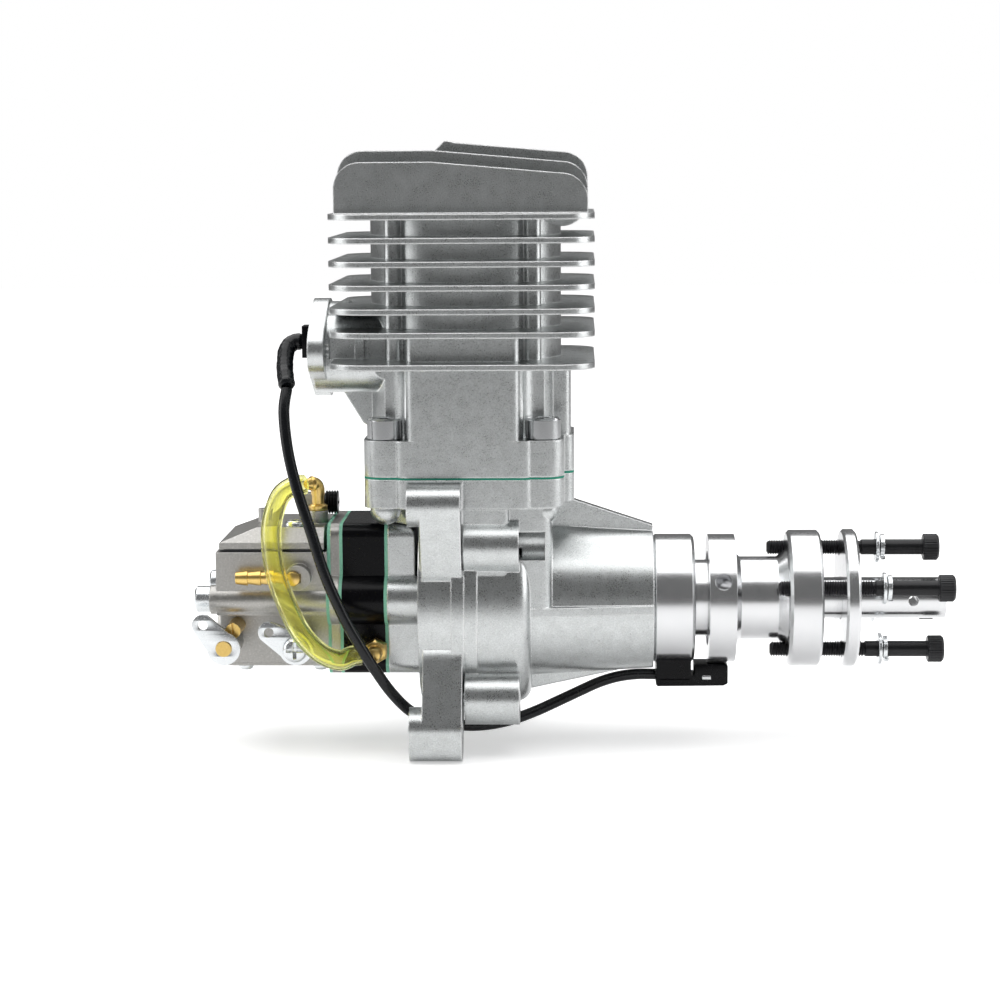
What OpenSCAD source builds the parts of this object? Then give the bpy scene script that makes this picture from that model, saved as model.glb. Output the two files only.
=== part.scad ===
// Single-cylinder two-stroke engine for a model aircraft.
// Origin: centre of the four mounting lugs' rear faces, on the crank axis.
// +X points forward to the propeller, +Z up along the cylinder.

/* [Crank train] */
// Diameter of the cylinder bore
bore_d = 46; // [42:0.5:47]
// Stroke of the piston
stroke = 36; // [30:1:38]
// Length of the connecting rod between its two eyes
rod_len = 68; // [66:0.5:72]
// Height of the piston crown above the wrist pin
crown_h = 20; // [18:0.5:22]
// Length of the piston skirt below the wrist pin
skirt_h = 19; // [16:0.5:20]
// Distance of the cylinder axis ahead of the lugs' rear faces
cyl_x = 17; // [16.8:0.1:18]
// Gap between the crank web and the wall of the crank chamber
web_gap = 2.5; // [1.5:0.5:4]
// Thickness of the crank web
web_t = 12; // [9:0.5:13]
// Diameter of the crank pin
crank_pin_d = 11; // [9:0.5:12]
// Diameter of the wrist pin
wrist_pin_d = 10; // [8:0.5:12]

/* [Case] */
// Outer radius of the crankcase drum
drum_r = 33; // [32.5:0.5:36]
// Wall between the crank chamber and the drum's outside
drum_wall = 3; // [2.5:0.25:4]
// Height of the deck that carries the cylinder
deck_z = 42; // [41:0.5:43]
// Thickness of the deck
deck_t = 9; // [7:0.5:10]
// Front end of the nose, measured from the lugs' rear faces
nose_x = 76; // [74:0.5:80]
// Radius of the nose at the drum
nose_r1 = 24.7; // [23:0.1:26]
// Radius of the nose at its front end
nose_r2 = 22.3; // [21:0.1:23.5]

/* [Mounting lugs] */
// Distance between the lugs' holes, both ways
lug_pitch = 70; // [68:1:76]
// Length of each lug
lug_len = 16.4; // [12:0.1:16.5]
// Outer radius of each lug
lug_r = 6.8; // [6:0.1:8]
// Extra length of the lower lugs below their holes
lug_foot = 3.9; // [0:0.1:5]
// Diameter of the hole in each lug
lug_hole_d = 6.4; // [5.2:0.1:6.6]

/* [Cylinder] */
// Thickness of the cylinder's base flange
flange_t = 11.3; // [9:0.1:13]
// Outer radius of the barrel between the fins
barrel_r = 30; // [29:0.5:31]
// Width of the cooling fins along the crank axis
fin_x = 81; // [76:1:86]
// Width of the cooling fins across the engine
fin_y = 84; // [80:1:88]
// Thickness of each cooling fin
fin_t = 1.8; // [1.4:0.1:2.4]
// Spacing of the upper fins
fin_pitch = 7.1; // [6.6:0.1:7.4]
// Number of evenly spaced upper fins
fin_count = 6; // [5:1:6]
// Corner radius of the fins
fin_corner = 12; // [8:1:14]
// Height of the tallest upright plate above the top fin
plate_h = 22; // [18:1:24]
// Thickness of the upright plates on the head
plate_t = 3; // [2:0.25:3.5]
// Half the distance between the two outer upright plates
plate_half = 32; // [30:0.5:34]
// Angle by which the spark plug leans back
plug_tilt = 15; // [10:1:18]
// Diameter of the spark plug's threaded hole
plug_d = 10; // [8:0.5:10]

/* [Exhaust] */
// Width of the exhaust port
port_w = 26; // [22:1:28]
// Height of the exhaust port
port_h = 16; // [13:0.5:16]
// Distance from the cylinder axis back to the exhaust flange's face
exhaust_reach = 48; // [46:0.5:52]
// Distance between the two exhaust bolts
exhaust_pitch = 38; // [36:0.5:40]
// Diameter of the threaded exhaust bolt holes
exhaust_hole_d = 4.2; // [3.3:0.1:5]

/* [Intake] */
// Height of the intake block
block_h = 48; // [46:0.5:50]
// Width of the intake block
block_w = 36; // [34:0.5:38]
// Length of the black reed block
block_len = 13.2; // [12:0.1:16]
// Thickness of each intake gasket
gasket_t = 1; // [0.5:0.1:1.2]
// Thickness of the gasket under the cylinder
base_gasket_t = 0.7; // [0.3:0.1:1]
// Thickness of the aluminium plate behind the carburettor
adaptor_t = 2.8; // [2.5:0.1:5]
// Distance between the two carburettor bolts
carb_pitch = 32; // [31:0.5:33]

/* [Carburettor] */
// Length of the carburettor body
carb_len = 35; // [34:0.5:37]
// Width of the carburettor body
carb_w = 40; // [39:0.5:42]
// Height of the carburettor body's top face above the crank axis
carb_top = 18; // [17:0.5:20]
// Height of the throat's axis, below the crank axis when negative
throat_z = -11.5; // [-12:0.1:-10.5]
// Diameter of the throat
throat_d = 12; // [10:0.5:13]
// Diameter of the throttle and choke shafts
shaft_d = 4.8; // [4:0.1:5]
// Reach of the lever arms from shaft to link hole
lever_arm = 9.8; // [8:0.1:11]

/* [Propeller drive] */
// Radius of the drive hub's front flange
hub_r = 21.8; // [21:0.1:24]
// Radius of the hub between its flange and the trigger ring
spool_r = 13.3; // [12:0.1:13.5]
// Diameter of the circle of propeller bolts
prop_pcd = 33; // [32.5:0.5:34]
// Angle of the first propeller bolt from the top
prop_turn = 20; // [0:5:40]
// Length of the propeller bolts under the head
prop_bolt_len = 50; // [45:1:55]
// Diameter of the propeller bolts
prop_bolt_d = 5; // [4:0.5:5]
// Radius of the front clamp plate
clamp_r = 22; // [21:0.5:25]
// Thickness of the front clamp plate
clamp_t = 4.5; // [3:0.5:6]
// Diameter of the centre stud
stud_d = 13.2; // [12:0.1:13.4]
// Front end of the centre stud
stud_x = 169; // [165:1:180]

/* [Cords] */
// Diameter of the sensor cable
cable_d = 3.5; // [3:0.1:4]
// Outer diameter of the clear pulse hose
hose_d = 6.5; // [6:0.1:7]

/* [Hidden] */
$fn = 64;

// Clearances
seat_gap = 0.05;
run_gap = 0.05;
part_gap = 0.3;
eps = 0.01;

// Chamfer of turned edges
edge = 0.8;

// Crank train, with the piston at the bottom of its stroke
bore_r = bore_d / 2;
crank_r = stroke / 2;
wrist_z = rod_len - crank_r;
crown_z = wrist_z + crown_h;
crown_top = crown_z + stroke;
piston_r = bore_r - run_gap;
ring_w = 1.2;
rod_w = 10;
beam_w = 7;
eye_wall = 3;
big_eye_r = crank_pin_d / 2 + eye_wall;
web_waist_off = 6;
web_waist_r = 21;
web_x = cyl_x + rod_w / 2 + 0.3;
web_end = web_x + web_t;
main_r = 8.5;
nose_shaft_r = 7.5;

// Main bearings: bore, outside and width
rear_bearing = [main_r, 17.5, 10];
front_bearing = [nose_shaft_r, 16, 9];
rear_bearing_x = web_end + 3.7;
front_bearing_x = nose_x - 12;
seal_t = 2.8;
seal_r = 13;
spigot_nose_r = 13.9;

// Case
chamber_r = drum_r - drum_wall;
web_r = chamber_r - web_gap;
case_rear = 2.6;
chamber_x0 = 8;
chamber_x1 = web_end + 0.5;
drum_front = web_end + 3;
drum_round = 5;
rim_h = 1.5;
rim_half = 4;
adaptor_x = -7.5;
neck_gap = 0.5;
neck_y = 28;
neck_half = 27;
neck_wall = 3.5;
blister_wall = 2;
blister_z = 10;
spigot_depth = 8;
liner_wall = 2.2;
spigot_r = bore_r + liner_wall;

// Base flange outline and its bolts
base_bolt_dx = 24.5;
base_bolt_y = 23;
base_bolt_d = 6;
base_lobe_r = 6.5;
base_mid_x = 21.5;
base_mid_y = 31;
base_front = 34;
base_front_y = 14;
base_depth = 11;
base_boss_r = 4.8;
base_head_r = 5.5;
base_head_h = 6.6;
base_socket_r = 2.9;
corner_r = 4;

// Case bolts, as distances across and up
case_bolt_y = 27;
case_bolt_z = [21, -27];
case_bolt_d = 5;
case_boss_r = 8.2;
case_boss_len = 17;
case_bolt_in = 12;
case_sink = 5.2;
case_head_r = 4.2;
lug_step = 4;
arm_r = 11;

// Cylinder, from its base upwards
base_z = deck_z + base_gasket_t;
base_top = base_z + flange_t;
squish = 1;
roof_z = crown_top + squish;
dome_r = 15;
dome_drop = 6;
head_z = roof_z + 16.5;
low_fin_z = crown_z + 8.3;
bulge_x = 17.5;
bulge_y = base_mid_y;
passage_w = 24;
passage_t = 3.5;
post_r = 2.6;
post_off = 31.5;

// Exhaust duct
port_z = crown_z + 3;
port_mid = port_z + port_h / 2;
duct_w = port_w + 10;
duct_wall = 5.5;
flange_x = cyl_x - exhaust_reach;
exhaust_t = 5;
port_corner = 2;
recess_t = 2.5;
recess_h = 7.4;

// Spark plug, measured along its leaning axis
plug_off = 13;
plug_z = roof_z + 2;
plug_seat = 14;
plug_start = 3;
plug_seat_r = 9.2;
socket_r = 10.5;

// Intake stack, from the case backwards
block_z = 2.5;
block_x1 = adaptor_x - gasket_t;
block_x0 = block_x1 - block_len;
plate_x1 = block_x0 - gasket_t;
plate_x0 = plate_x1 - adaptor_t;
carb_x1 = plate_x0 - gasket_t;
carb_x0 = carb_x1 - carb_len;
window_w = 24;
window_h = 28;
window_z = -2;
carb_bolt_d = 5;
carb_lobe_r = 8;

// Reed cage
cage_rim_t = 3.5;
cage_w = 21;
cage_h = 22;
cage_tip = 3.5;
cage_len = 13;
petal_t = 0.4;
stop_t = 1;
petal_w = 18;

// Carburettor
throat_r = throat_d / 2;
throat_wall = 1.1;
carb_bottom = throat_z - throat_r - throat_wall;
carb_rear_rim = 2;
carb_bulge_r = 4.6;
lower_inset = 8;
lower_y = -carb_w / 2 + lower_inset;
lower_top = -2;
shaft_r = shaft_d / 2;
shaft_boss_r = shaft_r + 2;
throttle_x = carb_x1 - 9.5;
choke_x = throttle_x - 22.6;
pump_t = 6.5;
pump_edge = 2;
pump_slope_x = 11.5;
pump_slope_y = 3.5;
pump_gasket_t = 0.8;
meter_t = 1.2;
meter_screw_x = [carb_x0 + 7.5, carb_x1 - 3.5];
cover_inset = 1;
cover_screw_x = carb_x1 - 10.7;
cover_screw_y = -12;
cover_screw_r = 1.6;
cover_head_r = 3.2;
cover_post_x = carb_x1 - 22;
cover_post_r = 1.8;
lever_t = 1.4;
lever_hub_r = 5.2;
lever_tip_r = 3.6;
throttle_angle = 148;
choke_angle = 131;
lever_screw_r = 3.85;
lever_y = -carb_w / 2 - 6.5;
nipple_x = carb_x1 - 8.3;
nipple_y = -carb_w / 2 - 3.5;
nipple_z = 10.5;
nipple_r = 1.6;
needle_x = [throttle_x - 8, throttle_x - 13];
needle_z = -8;
needle_r = 1.6;
pump_top = carb_top + pump_gasket_t + pump_t;
elbow_x = carb_x1 - 4;
elbow_y = -5;
elbow_z = 38;
elbow_r = 1.8;
elbow_boss_r = 3.2;
elbow_boss_h = 4;

// Idle screw, lying along the crank axis in a lug on the pump cover
idle_r = 1.5;
idle_y = 3.5;
idle_z = pump_top + 5.5;
idle_wire = 0.5;
idle_turns = 3;
idle_lug_x = carb_x1 - 9;
idle_lug_t = 3;
idle_spring_x = idle_lug_x + idle_lug_t + seat_gap;
idle_head_x = idle_spring_x + idle_turns * (2 * idle_wire + seat_gap);
idle_head_len = 4.6;
idle_head_r = 3.8;

// Brass plug beside the choke shaft
plug_cap_x = choke_x + 2.6;
plug_cap_z = throat_z + 5.1;
plug_cap_r = 2.4;

// Fitting of the pulse hose on the reed block
pulse_x = block_x1 - 2.9;
pulse_z = -13.2;

// Propeller drive
collar_x0 = nose_x;
collar_x1 = nose_x + 13;
collar_r = 20.6;
hub_x = collar_x1 + part_gap;
neck_r = 12.3;
ring_x0 = collar_x1 + 4.5;
ring_x1 = ring_x0 + 8.5;
ring_r = 20.5;
flange_front = ring_x1 + 27;
flange_rear = flange_front - 10.5;
bolt_out = 5.8;
stud_seat = 1.5;
shaft_end = ring_x1 + 10;
clamp_x = flange_front + 7;
stud_root = 10;
stud_thread_r = 5;
washer_x = clamp_x + clamp_t + 7;
washer_r = 5;
washer_t = 1;
spring_washer_x = washer_x + washer_t + 0.6;
spring_washer_r = 4.4;
spring_washer_t = 1.4;
prop_head_h = 5;
prop_head_r = 4.25;
head_x = flange_rear - bolt_out + prop_bolt_len;
backoff = [0, 0.4, 0.4, 2.4];

// Sensor under the collar
sensor_x0 = collar_x0 + 1;
sensor_len = 23;
sensor_z = -28;
sensor_screw_x = collar_x0 + 6;
sensor_screw_r = 1.45;
sensor_head_r = 2.9;
sensor_head_z = -23.9;
holder_z = -24.4;

// Fixed routes of the cable and the hose, in round numbers
connector_x = -34;
cable_route = [
    [76.95, 0, -24.9], [71, 0, -24.9], [65, 0, -25.7], [59, -1, -27.3], [53, -3, -29.6], [46, -6, -32.3],
    [39, -9, -34.9], [32, -12, -36.9], [24.5, -15, -38], [17, -17.5, -37.9], [8.5, -18.5, -36.6],
    [3, -20.5, -34.4], [-1.5, -24, -31], [-6.3, -28.5, -24.6], [-10.5, -31.8, -17.5],
    [-13.7, -33.5, -11.8], [-19.6, -34.8, -0.8],
    [-25.5, -35, 13], [-30, -33.5, 27], [-34, -31.5, 39], [-37, -29, 51], [-38.4, -26, 62.5],
    [-37.8, -22.5, 69.5]
];
sleeve_route = [
    [-37.7, -22, 70.3], [-38.6, -18.4, 73.2], [-39.2, -14.4, 76.3], [-39, -10.5, 80.8], [-37, -8.6, 83],
    [-34.1, -8.4, 83.2]
];
hose_route = [
    [-34.5, -9, 38], [-38, -11.4, 37.6], [-41.5, -14, 34.8], [-43.5, -19, 28], [-43.3, -24, 21],
    [-41.5, -28.5, 12.5], [-38, -32, 4], [-33.4, -34.2, -4.8], [-27.5, -34, -11.2], [-22, -30.7, -14.2],
    [-18.5, -27.6, -13.6], [-15.6, -26.9, -13.2]
];

aluminium = [0.76, 0.77, 0.78];
cast = [0.62, 0.63, 0.64];
steel = [0.5, 0.51, 0.53];
black = [0.09, 0.09, 0.1];
brass = [0.78, 0.6, 0.25];
zinc = [0.72, 0.74, 0.76];
green = [0.1, 0.5, 0.38];
clear_yellow = [0.85, 0.8, 0.2];

// Placing helpers: flat outlines read across and up
module plate_x(x0, x1) {
    translate([x0, 0, 0]) rotate([90, 0, 90]) linear_extrude(x1 - x0) children();
}

module plate_y(y0, y1) {
    translate([0, y1, 0]) rotate([90, 0, 0]) linear_extrude(y1 - y0) children();
}

module plate_z(z0, z1) {
    translate([0, 0, z0]) linear_extrude(z1 - z0) children();
}

module rod_x(x0, x1, r, y = 0, z = 0) {
    translate([x0, y, z]) rotate([0, 90, 0]) cylinder(h = x1 - x0, r = r);
}

module rod_y(y0, y1, r, x = 0, z = 0) {
    translate([x, y1, z]) rotate([90, 0, 0]) cylinder(h = y1 - y0, r = r);
}

module rod_z(z0, z1, r, x = 0, y = 0) {
    translate([x, y, z0]) cylinder(h = z1 - z0, r = r);
}

module tube_x(x0, x1, r, hole_r) {
    difference() {
        rod_x(x0, x1, r);
        rod_x(x0 - 1, x1 + 1, hole_r);
    }
}

// Solid of revolution about the crank axis from a radius and length outline
module turned_x() {
    rotate([0, 90, 0]) rotate_extrude() children();
}

// Rectangle with round corners, from its low corner to its high one
module round_rect(lo, hi, r) {
    translate([lo.x + r, lo.y]) square([hi.x - lo.x - 2 * r, hi.y - lo.y]);
    translate([lo.x, lo.y + r]) square([hi.x - lo.x, hi.y - lo.y - 2 * r]);
    for (x = [lo.x + r, hi.x - r], y = [lo.y + r, hi.y - r]) translate([x, y]) circle(r);
}

// Two discs joined by their common tangents
module tangent_bar(p, rp, q, rq) {
    d = norm(q - p);
    dir = atan2(q.y - p.y, q.x - p.x);
    off = acos((rp - rq) / d);
    translate(p) circle(rp);
    translate(q) circle(rq);
    polygon([
        p + rp * [cos(dir + off), sin(dir + off)], q + rq * [cos(dir + off), sin(dir + off)],
        q + rq * [cos(dir - off), sin(dir - off)], p + rp * [cos(dir - off), sin(dir - off)]
    ]);
}

// Smooth curve through a route, with a few steps between its points
function blend4(a, b, c, d, t) =
    0.5 * ((2 * b) + (c - a) * t + (2 * a - 5 * b + 4 * c - d) * t * t
        + (3 * b - a - 3 * c + d) * t * t * t);
function smooth(p, steps) = [
    for (i = [0:len(p) - 2], k = [0:steps - 1])
        blend4(p[max(i - 1, 0)], p[i], p[i + 1], p[min(i + 2, len(p) - 1)], k / steps),
    p[len(p) - 1]
];
function unit(v) = v / norm(v);
function heading(p, i) = unit(p[min(i + 1, len(p) - 1)] - p[max(i - 1, 0)]);

// Round tube swept along a curve that never runs straight across the engine
module swept_tube(p, r, sides) {
    rings = [
        for (i = [0:len(p) - 1])
            let (t = heading(p, i), u = unit(cross(t, [0, 1, 0])), v = cross(t, u))
                for (j = [0:sides - 1])
                    p[i] + r * (cos(360 * j / sides) * u + sin(360 * j / sides) * v)
    ];
    last = (len(p) - 1) * sides;
    faces = concat(
        [[for (j = [sides - 1:-1:0]) j]],
        [for (i = [0:len(p) - 2], j = [0:sides - 1])
            let (a = i * sides + j, b = i * sides + (j + 1) % sides) [a, b, b + sides, a + sides]],
        [[for (j = [0:sides - 1]) last + j]]
    );
    polyhedron(rings, [for (f = faces) [for (k = [len(f) - 1:-1:0]) f[k]]]);
}

// Socket cap screw along +X, with its tip at x0 and the underside of its head at x1
module cap_screw_x(x0, x1, r, head_r, head_h, y, z, socket_r = 2) {
    difference() {
        union() {
            rod_x(x0, x1, r, y, z);
            rod_x(x1, x1 + head_h, head_r, y, z);
        }
        translate([x1 + head_h - head_h / 2, y, z]) rotate([0, 90, 0])
            cylinder(h = head_h, r = socket_r, $fn = 6);
    }
}

// Outline of the joint between case and cylinder
module base_outline() {
    translate([cyl_x, 0]) {
        square([2 * (base_bolt_dx + base_lobe_r), 2 * base_bolt_y], center = true);
        square([2 * base_bolt_dx, 2 * (base_bolt_y + base_lobe_r)], center = true);
        round_rect([-base_mid_x, -base_mid_y], [base_mid_x, base_mid_y], corner_r);
        round_rect([0, -base_front_y], [base_front, base_front_y], corner_r);
        for (x = [-base_bolt_dx, base_bolt_dx], y = [-base_bolt_y, base_bolt_y])
            translate([x, y]) circle(base_lobe_r);
    }
}

// The four base bolts' places
module at_base_bolts() {
    for (x = [-base_bolt_dx, base_bolt_dx], y = [-base_bolt_y, base_bolt_y])
        translate([cyl_x + x, y, 0]) children();
}

// Transfer passages on both sides of the bore
module transfer_outline() {
    for (s = [-1, 1])
        translate([cyl_x - passage_w / 2, s > 0 ? spigot_r : -spigot_r - passage_t])
            square([passage_w, passage_t]);
}

// Outline of the intake joint: a block with a round ear on each side
module intake_outline() {
    round_rect([-block_w / 2, block_z - block_h / 2], [block_w / 2, block_z + block_h / 2], corner_r);
    for (s = [-1, 1]) translate([s * carb_pitch / 2, block_z]) circle(carb_lobe_r);
}

module window_outline() {
    round_rect([-window_w / 2, window_z - window_h / 2], [window_w / 2, window_z + window_h / 2], 3);
}

// Drum outline of one half: the front one is rounded, the rear one closed by a wall
module drum_profile(front) {
    if (front) difference() {
        translate([0, cyl_x]) square([drum_r, drum_front - cyl_x]);
        translate([drum_r - drum_round, drum_front - drum_round]) difference() {
            square(2 * drum_round);
            circle(drum_round);
        }
    }
    else translate([0, case_rear]) square([drum_r, cyl_x - case_rear]);
    translate([0, front ? cyl_x : cyl_x - rim_half]) square([drum_r + rim_h, rim_half]);
}

module nose_profile() {
    polygon([[0, drum_front - drum_round], [nose_r1, drum_front - drum_round], [nose_r2, nose_x],
        [spigot_nose_r, nose_x], [spigot_nose_r, nose_x + 8], [0, nose_x + 8]]);
}

// Half of an outline seen from above, split across the cylinder axis
module half_outline(front) {
    intersection() {
        children();
        translate([front ? cyl_x : cyl_x - 100, -100]) square([100, 200]);
    }
}

// Neck and deck that carry the cylinder
module case_deck(front) {
    neck_z = block_z + block_h / 2 + neck_gap;
    translate([0, 0, deck_z - deck_t]) linear_extrude(deck_t) half_outline(front) base_outline();
    if (!front) translate([0, 0, neck_z]) linear_extrude(deck_z - deck_t / 2 - neck_z)
        half_outline(front) translate([cyl_x, 0]) circle(bore_r + 1 + neck_wall);
    linear_extrude(deck_z - deck_t / 2) half_outline(front)
        round_rect([case_rear, -neck_y], [cyl_x + neck_half, neck_y], corner_r);
    blister_x = passage_w / 2 + blister_wall;
    blister_y = spigot_r + passage_t + blister_wall;
    translate([0, 0, blister_z]) linear_extrude(deck_z - deck_t / 2 - blister_z) half_outline(front)
        round_rect([cyl_x - blister_x, -blister_y], [cyl_x + blister_x, blister_y], blister_wall);
    for (y = [-base_bolt_y, base_bolt_y])
        translate([cyl_x + (front ? base_bolt_dx : -base_bolt_dx), y, deck_z - deck_t - 1])
            sphere(base_boss_r);
}

// Cuts that both halves share
module case_cuts() {
    rod_x(chamber_x0, chamber_x1, chamber_r);
    rod_z(deck_z - spigot_depth - 0.5, deck_z + 1, spigot_r + run_gap, cyl_x);
    rod_z(0, deck_z, bore_r + 1, cyl_x);
    translate([0, 0, chamber_r / 2]) linear_extrude(deck_z) transfer_outline();
    at_base_bolts() translate([0, 0, deck_z - base_depth - 1])
        cylinder(h = base_depth + 2, r = base_bolt_d / 2 + seat_gap);
    for (s = [-1, 1], z = case_bolt_z)
        rod_x(cyl_x - case_bolt_in, cyl_x + case_boss_len + 1, case_bolt_d / 2 + seat_gap, s * case_bolt_y, z);
}

// Stiffening ribs between the drum and the nose
module nose_ribs() {
    root = drum_front - 4;
    plate_y(-2.5, 2.5) polygon([[root, nose_r1 - 3], [root, deck_z - deck_t + 2],
        [drum_front + 11, deck_z - deck_t], [nose_x, nose_r2 + 1.5], [nose_x, nose_r2 - 3]]);
    plate_y(-1.5, 1.5) polygon([[root, -nose_r1 + 3], [root, -drum_r + 3],
        [nose_x - 9, -nose_r2 - 0.4], [nose_x - 9, -nose_r2 + 3]]);
    for (s = [-1, 1]) plate_z(-1.4, 1.4) polygon([[root, s * (nose_r1 - 3)], [root, s * (drum_r - 4)],
        [nose_x, s * (nose_r2 + 0.6)], [nose_x, s * (nose_r2 - 3)]]);
}

module crankcase_front() {
    color(cast) difference() {
        union() {
            turned_x() drum_profile(true);
            turned_x() nose_profile();
            case_deck(true);
            nose_ribs();
            for (s = [-1, 1], z = case_bolt_z)
                rod_x(cyl_x, cyl_x + case_boss_len, case_boss_r, s * case_bolt_y, z);
        }
        case_cuts();
        rod_x(chamber_x1 - 1, nose_x + 10, main_r + 1);
        rod_x(rear_bearing_x - part_gap, rear_bearing_x + rear_bearing[2], rear_bearing[1] + seat_gap);
        rod_x(rear_bearing_x + rear_bearing[2] - 1, front_bearing_x - 1, nose_shaft_r + 5);
        rod_x(front_bearing_x, nose_x - seal_t, front_bearing[1] + seat_gap);
        rod_x(nose_x - seal_t - 1, nose_x - 0.6, seal_r + seat_gap);
        for (s = [-1, 1], z = case_bolt_z)
            rod_x(cyl_x + case_boss_len - case_sink, cyl_x + case_boss_len + 8, case_head_r + part_gap,
                s * case_bolt_y, z);
    }
}

module crankcase_rear() {
    lug = lug_pitch / 2;
    color(cast) difference() {
        union() {
            turned_x() drum_profile(false);
            case_deck(false);
            for (sy = [-1, 1], sz = [-1, 1]) {
                rod_x(0, lug_len, lug_r, sy * lug, sz * lug);
                plate_x(lug_step, lug_len)
                    tangent_bar([sy * lug, sz * lug], lug_r, [sy * (lug - 12), sz * (lug - 17)], arm_r);
            }
            for (sy = [-1, 1]) plate_x(0, lug_len)
                tangent_bar([sy * lug, -lug], lug_r, [sy * lug, -lug - lug_foot], lug_r - 0.6);
            plate_x(adaptor_x, case_rear + 1) intake_outline();
        }
        case_cuts();
        plate_x(adaptor_x - 1, chamber_x0 + 1) window_outline();
        for (s = [-1, 1]) rod_x(adaptor_x - 1, 0, carb_bolt_d / 2 + seat_gap, s * carb_pitch / 2, block_z);
        for (sy = [-1, 1], sz = [-1, 1]) rod_x(-1, lug_len + 1, lug_hole_d / 2, sy * lug, sz * lug);
    }
}

module case_bolts() {
    color(steel) for (s = [-1, 1], z = case_bolt_z)
        cap_screw_x(cyl_x - case_bolt_in + 1, cyl_x + case_boss_len - case_sink, case_bolt_d / 2, case_head_r,
            case_bolt_d, s * case_bolt_y, z);
}

module fin(z_top) {
    translate([0, 0, z_top - fin_t]) linear_extrude(fin_t)
        round_rect([cyl_x - fin_x / 2, -fin_y / 2], [cyl_x + fin_x / 2, fin_y / 2], fin_corner);
}

// Upright plate on the head, with a round rear corner and a falling front
module head_plate(y, h, x_rear) {
    x_front = cyl_x + fin_x / 2 - 2;
    r = 8;
    fall = 3.5;
    top = head_z + h;
    plate_y(y - plate_t / 2, y + plate_t / 2) {
        translate([x_rear + r, top - r]) circle(r);
        translate([x_front - r, top - fall - r]) circle(r);
        polygon([[x_rear, head_z - 1], [x_rear, top - r], [x_rear + r, top], [cyl_x - 9, top],
            [x_front - r, top - fall], [x_front, top - fall - r], [x_front, head_z - 1]]);
    }
}

module exhaust_flange_outline() {
    for (s = [-1, 1])
        tangent_bar([0, port_mid], port_h / 2 + duct_wall + 2, [s * exhaust_pitch / 2, port_mid], 7);
}

module duct_outline() {
    round_rect([-duct_w / 2, port_z - duct_wall], [duct_w / 2, port_z + port_h + 3], 9);
}

module port_outline() {
    round_rect([-port_w / 2, port_z], [port_w / 2, port_z + port_h], port_corner);
}

// Everything measured along the leaning axis of the spark plug
module on_plug_axis() {
    translate([cyl_x - plug_off, 0, plug_z]) rotate([0, -plug_tilt, 0]) children();
}

module cylinder_shell() {
    translate([0, 0, base_z]) linear_extrude(flange_t) base_outline();
    rod_z(base_z, head_z, barrel_r, cyl_x);
    rod_z(base_z - spigot_depth, base_z + 1, spigot_r, cyl_x);
    translate([0, 0, base_z]) linear_extrude(low_fin_z + 9 - base_z)
        round_rect([cyl_x - bulge_x, -bulge_y], [cyl_x + bulge_x, bulge_y], 3);
    translate([0, 0, base_z]) linear_extrude(low_fin_z - base_z)
        round_rect([cyl_x, -12], [cyl_x + base_front - 1, 12], 3);
    for (i = [0:fin_count - 1]) fin(head_z - i * fin_pitch);
    fin(low_fin_z);
    for (a = [47, 133, 227, 313])
        rod_z(low_fin_z - 1, head_z - 1, post_r, cyl_x + post_off * cos(a), post_off * sin(a));
    plate_x(flange_x, flange_x + exhaust_t) exhaust_flange_outline();
    plate_x(flange_x + 3, flange_x + 11.5) translate([0, port_mid]) circle(port_h / 2 + duct_wall + 1);
    plate_x(flange_x + 1, cyl_x - bore_r) duct_outline();
    plate_y(-2, 2) polygon([[flange_x + 8, port_z - duct_wall + 1], [cyl_x - barrel_r + 2, port_z - 2],
        [cyl_x - barrel_r + 2, base_top], [cyl_x - barrel_r - 3, base_top + 3]]);
    for (s = [-1, 1]) {
        head_plate(s * plate_half, plate_h - 6.5, cyl_x - fin_x / 2 + 2);
        head_plate(s * plate_half * 0.6, plate_h - 3, cyl_x - fin_x / 2 + 2);
        head_plate(s * plate_half * 0.2, plate_h, cyl_x - 14);
    }
}

module cylinder_cuts() {
    rod_z(0, roof_z, bore_r, cyl_x);
    translate([cyl_x, 0, roof_z - dome_drop]) sphere(dome_r);
    plate_x(flange_x - 1, cyl_x) port_outline();
    translate([0, 0, base_z - 1]) linear_extrude(crown_z + 9 - base_z) transfer_outline();
    translate([cyl_x - passage_w / 2 + 2, -spigot_r - 1, crown_z]) cube([passage_w - 4, 2 * spigot_r + 2, 8]);
    at_base_bolts() {
        translate([0, 0, base_z - 1]) cylinder(h = flange_t + 2, r = base_bolt_d / 2 + 0.2);
        translate([0, 0, base_top]) cylinder(h = low_fin_z - fin_t - base_top - eps, r = base_head_r + 0.7);
    }
    for (s = [-1, 1]) {
        rod_x(flange_x - 1, flange_x + exhaust_t + 4, exhaust_hole_d / 2, s * exhaust_pitch / 2, port_mid);
        for (c = [[1, 8], [12, 12]])
            translate([flange_x + exhaust_t + c[0], s * duct_w / 2 - (s > 0 ? recess_t : 1), low_fin_z + eps])
                cube([c[1], recess_t + 1, recess_h]);
    }
    on_plug_axis() {
        rod_z(-8, plug_start, plug_d / 2 + 0.8);
        rod_z(plug_start - 1, plug_seat + 1, plug_d / 2);
        rod_z(plug_seat, plug_seat + 12, plug_seat_r);
        rod_z(plug_seat + 2, plug_seat + 60, socket_r);
    }
}

module cylinder_node() {
    color(aluminium) difference() {
        cylinder_shell();
        cylinder_cuts();
    }
}

module base_gasket() {
    color(green) difference() {
        translate([0, 0, deck_z]) linear_extrude(base_gasket_t) difference() {
            base_outline();
            translate([cyl_x, 0]) circle(spigot_r + part_gap);
            transfer_outline();
        }
        at_base_bolts() cylinder(h = 2 * deck_z, r = base_bolt_d / 2 + 0.2);
    }
}

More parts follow.
